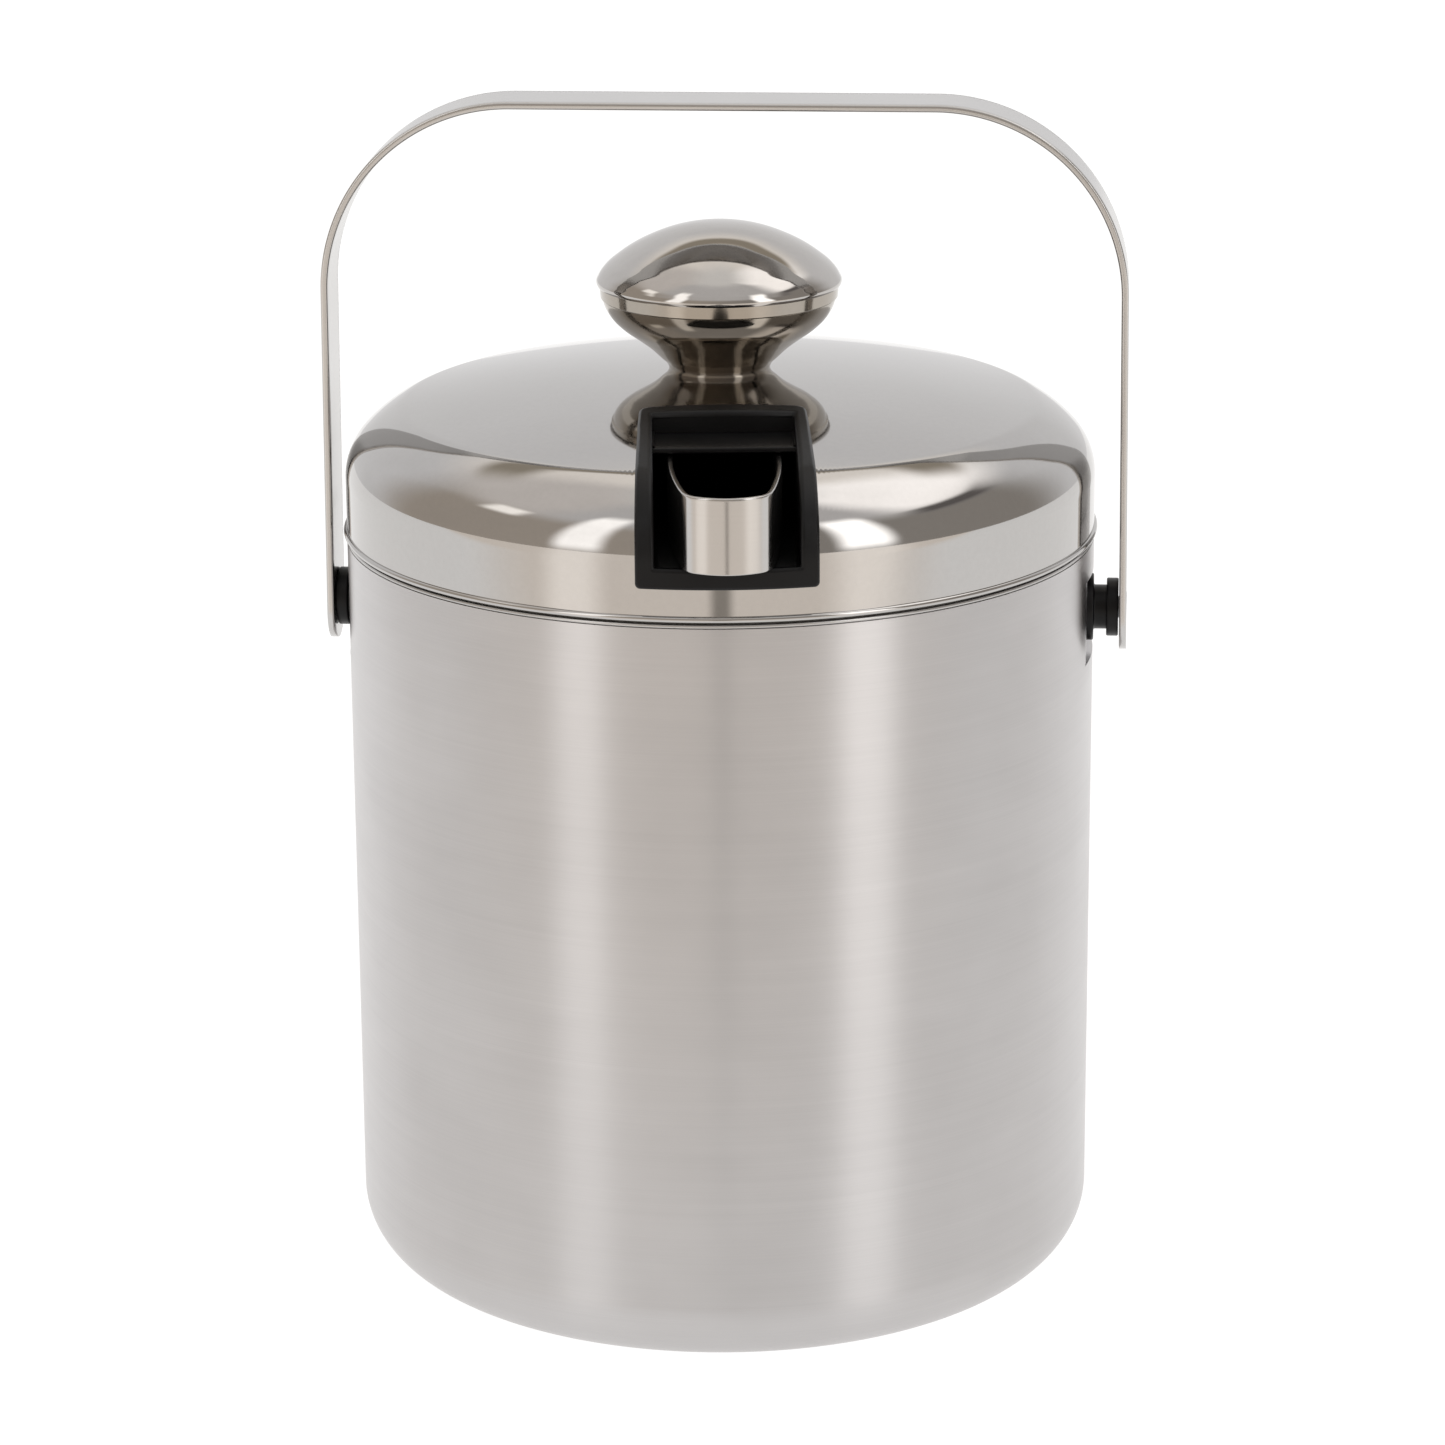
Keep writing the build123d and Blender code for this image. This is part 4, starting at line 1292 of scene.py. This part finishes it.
@dataclass
class Dome:
    """The room as reflections see it: a dome round the bucket whose glow depends on the direction only.

    Behind the bucket is white paper with a dark strip above it, overhead a bright panel, and in front a dim
    room with tall soft-boxes. Each pair of angles is where one colour gives way to the next.
    """

    turn: float
    radius: float = 3.0
    room_left: tuple = (0.52, 0.46, 0.40)
    room_right: tuple = (0.38, 0.35, 0.32)
    ceiling_front: tuple = (0.76, 0.74, 0.73)
    ceiling_left: tuple = (0.88, 0.83, 0.79)
    ceiling_right: tuple = (1.88, 1.82, 1.78)
    ceiling_back: tuple = (1.25, 1.18, 1.10)
    ceiling_top: tuple = (1.0, 0.98, 0.95)
    paper: tuple = (0.885, 0.88, 0.885)
    gap: tuple = (0.42, 0.37, 0.30)
    room_turn: tuple = (-30.0, 30.0)
    ceiling_turn: tuple = (-40.0, 40.0)
    ceiling_side: tuple = (56.0, 84.0)
    ceiling_rear: tuple = (120.0, 150.0)
    overhead: tuple = (70.0, 86.0)
    paper_side: tuple = (104.0, 134.0)
    wall_top: tuple = (36.0, 52.0)
    gap_foot: tuple = (46.0, 50.0)
    gap_top: tuple = (54.0, 59.0)
    gap_side: tuple = (118.0, 142.0)
    box_edge: tuple = (0.5, 1.3)
    boxes: tuple = (
        SoftBox(-43.0, 8.0, (-6.0, 12.0, 52.0, 62.0), (2.0, 1.96, 1.92)),
        SoftBox(44.0, 9.0, (-6.0, 12.0, 44.0, 54.0), (2.6, 2.56, 2.52)),
        SoftBox(-82.0, 9.0, (36.0, 41.0, 45.0, 49.0), (1.75, 1.68, 1.6)),
        SoftBox(92.0, 24.0, (36.0, 41.0, 44.0, 48.0), (0.17, 0.155, 0.15)),
    )

    def build(self) -> None:
        """Makes the dome: radius * (cos e sin a, -cos e cos a, sin e) for azimuth a and elevation e."""
        a, e = np.meshgrid(np.linspace(-math.pi, math.pi, 97)[:-1], np.radians(np.linspace(-2.0, 90.0, 33)))
        points = np.stack([np.cos(e) * np.sin(a), -np.cos(e) * np.cos(a), np.sin(e)], axis=-1)
        points = points * self.radius / MM
        mesh = skin_mesh("light_dome", [Patch(points, -points, wrap=True)])[0]
        mesh.materials.append(self.glow())
        stage_only(mesh)

    def glow(self) -> bpy.types.Material:
        """The dome's light, mixed from its parts by azimuth and elevation.

        Returns:
            An emission whose colour is a function of the direction.
        """
        g = Graph("room_light")
        place = g.place()
        x, y, z = g.axes(place)
        azimuth = g.bearing(x, y, self.turn)
        elevation = g.node("ShaderNodeMath", {"operation": "ARCSINE"}, {0: z / self.radius}) * math.degrees(1)
        cloud = g.noise(place, 0.9, 2.0)
        off = abs(azimuth)
        room = g.blend(azimuth.between(*self.room_turn), self.room_left, self.room_right)
        ceiling = g.blend(azimuth.between(*self.ceiling_turn), self.ceiling_left, self.ceiling_right)
        ceiling = g.blend(off.between(*self.ceiling_side), self.ceiling_front, ceiling)
        ceiling = g.blend(off.between(*self.ceiling_rear), ceiling, self.ceiling_back)
        ceiling = g.blend(elevation.between(*self.overhead), ceiling, self.ceiling_top)
        wall = g.blend(off.between(*self.paper_side), room, self.paper)
        colour = g.blend(elevation.between(*self.wall_top), wall, ceiling)
        for box in self.boxes:
            low, full, fades, top = box.heights
            across = 1.0 - (abs(azimuth - box.azimuth) / box.half).between(*self.box_edge)
            colour = g.blend(across * elevation.between(low, full) * (1.0 - elevation.between(fades, top)),
                             colour, box.colour)
        gap = elevation.between(*self.gap_foot) * (1.0 - elevation.between(*self.gap_top))
        gap = gap * off.between(*self.gap_side)
        colour = g.blend(gap, colour, self.gap)
        colour = g.blend((cloud - 0.35) * 0.25, colour, self.room_right)
        return g.finish(g.node("ShaderNodeEmission", {}, {"Color": colour, "Strength": 1.0}))


def stage_only(mesh: bpy.types.Mesh, seen: bool = False) -> bpy.types.Object:
    """Puts a piece of the studio in the scene.

    Args:
        mesh: its shape.
        seen: True if the camera sees it.

    Returns:
        The object, which casts no shadow.
    """
    made = bpy.data.objects.new(mesh.name, mesh)
    bpy.context.scene.collection.objects.link(made)
    made.visible_camera = seen
    made.visible_shadow = False
    return made


@dataclass
class Studio:
    """Plain pale floor, plain soft light and the camera."""

    lens: float = 123.42
    spot: tuple = (0.07637, -0.9312, 0.3873)
    pitch: float = 0.2913
    pan: float = 0.0003
    roll: float = -0.0067
    turn: float = 4.7
    paper_half: float = 30.0
    paper_drop: float = 0.0005
    front: tuple = (-0.45, -0.16)
    # Azimuths and half widths of the two pools of soft-box light painted into the floor's glow.
    softbox_light_pools: tuple = ((-43.0, 8.0), (44.0, 11.0))
    softbox_light_pool_edge: tuple = (0.3, 1.6)
    white: tuple = (0.98, 0.975, 0.97)
    warm: tuple = (0.91, 0.83, 0.75)
    bright: tuple = (1.28, 1.2, 1.12)
    stand_away: float = 0.50
    stand_half: float = 0.04
    stand_top: float = 0.11
    stand_cover: float = 0.75

    def build(self) -> None:
        """Makes the floor, the light and the camera."""
        self.floor()
        self.world()
        Dome(self.turn).build()
        self.stand()
        self.camera()
        bpy.context.scene.view_settings.view_transform = "Standard"

    def floor(self) -> None:
        """A wide white floor, warmer in front, that glows so that only a faint shadow is left, with painted
        pools of soft-box light in front.
        """
        mesh = bpy.data.meshes.new("floor")
        s, z = self.paper_half, -self.paper_drop
        mesh.from_pydata([(-s, -s, z), (s, -s, z), (s, s, z), (-s, s, z)], [], [(0, 1, 2, 3)])
        g = Graph("floor_paper")
        place = g.place()
        x, y = g.axes(place)[:2]
        front = 1.0 - y.between(*self.front)
        cloud = g.noise(place, 6.0, 3.0)
        azimuth = g.bearing(x, y, self.turn)
        lit: Any = float(len(self.softbox_light_pools))
        for middle, half in self.softbox_light_pools:
            lit = lit - (abs(azimuth - middle) / half).between(*self.softbox_light_pool_edge)
        # Painted light: in front the glow is warm, and brighter in the two painted pools of soft-box light.
        glow = g.blend(front, self.white, g.blend(lit * front, self.warm, self.bright))
        base = g.blend(cloud.between(0.3, 0.7), (0.11, 0.11, 0.11), (0.13, 0.13, 0.13))
        inputs = {"Base Color": base, "Roughness": 0.8, "Emission Color": glow, "Emission Strength": 1.0,
                  "Specular IOR Level": 0.0}
        mesh.materials.append(g.finish(g.node("ShaderNodeBsdfPrincipled", {}, inputs)))
        stage_only(mesh, True)

    def stand(self) -> None:
        """A narrow dark board under the camera, which only reflections see."""
        mesh = bpy.data.meshes.new("camera_stand")
        a, w, top = math.radians(self.turn), self.stand_half, self.stand_top
        across, away = np.array([math.cos(a), math.sin(a), 0.0]), np.array([math.sin(a), -math.cos(a), 0.0])
        corners = [tuple(away * self.stand_away + across * w * side + np.array([0.0, 0.0, z])) for side, z in
                   ((1, 0.0), (-1, 0.0), (-1, top), (1, top))]
        mesh.from_pydata(corners, [], [(0, 1, 2, 3)])
        g = Graph("stand_black")
        place = g.place()
        cloud = g.noise(place, 12.0, 3.0)
        tone = g.blend(cloud.between(0.3, 0.7), (0.16, 0.14, 0.12), (0.22, 0.20, 0.17))
        x, y = g.axes(place)[:2]
        far = abs(x * math.cos(a) + y * math.sin(a)) / w
        light = g.node("ShaderNodeEmission", {}, {"Color": tone, "Strength": 1.0})
        clear = g.node("ShaderNodeBsdfTransparent")
        fade = self.stand_cover - far.between(0.2, 1.0) * self.stand_cover
        mesh.materials.append(g.finish(g.node("ShaderNodeMixShader", {}, {0: fade, 1: clear, 2: light})))
        stage_only(mesh)

    def world(self) -> None:
        """Plain white surroundings."""
        world = bpy.data.worlds.new("white_room")
        world.use_nodes = True
        back = world.node_tree.nodes["Background"]
        back.inputs["Color"].default_value = (1.0, 1.0, 1.0, 1.0)
        back.inputs["Strength"].default_value = 1.0
        bpy.context.scene.world = world

    def camera(self) -> None:
        """A camera in front of and above the bucket, turned a little to its right."""
        p, q, r = self.pitch, self.pan, self.roll
        forward = Vector((math.sin(q) * math.cos(p), math.cos(q) * math.cos(p), -math.sin(p)))
        right = forward.cross(Vector((0, 0, 1))).normalized()
        up = right.cross(forward)
        right2 = right * math.cos(r) + up * math.sin(r)
        up2 = up * math.cos(r) - right * math.sin(r)
        turn = Matrix.Rotation(math.radians(self.turn), 4, "Z")
        axes = Matrix((right2, up2, -forward)).transposed().to_4x4()
        data = bpy.data.cameras.new("camera")
        data.lens, data.sensor_width = self.lens, 36.0
        data.clip_start, data.clip_end = 0.05, 100.0
        camera = bpy.data.objects.new("camera", data)
        camera.matrix_world = Matrix.Translation(Vector(self.spot)) @ turn @ axes
        bpy.context.scene.collection.objects.link(camera)
        bpy.context.scene.camera = camera


def main() -> None:
    """Builds every sub-assembly in order, then the studio."""
    logging.basicConfig(level=logging.INFO, format="%(message)s")
    lid = Lid()
    Bucket().build()
    Bail().build()
    lid.build()
    Pocket(lid).build()
    Tongs(lid).build()
    Knob().build()
    Studio().build()


if __name__ == "__main__":
    main()
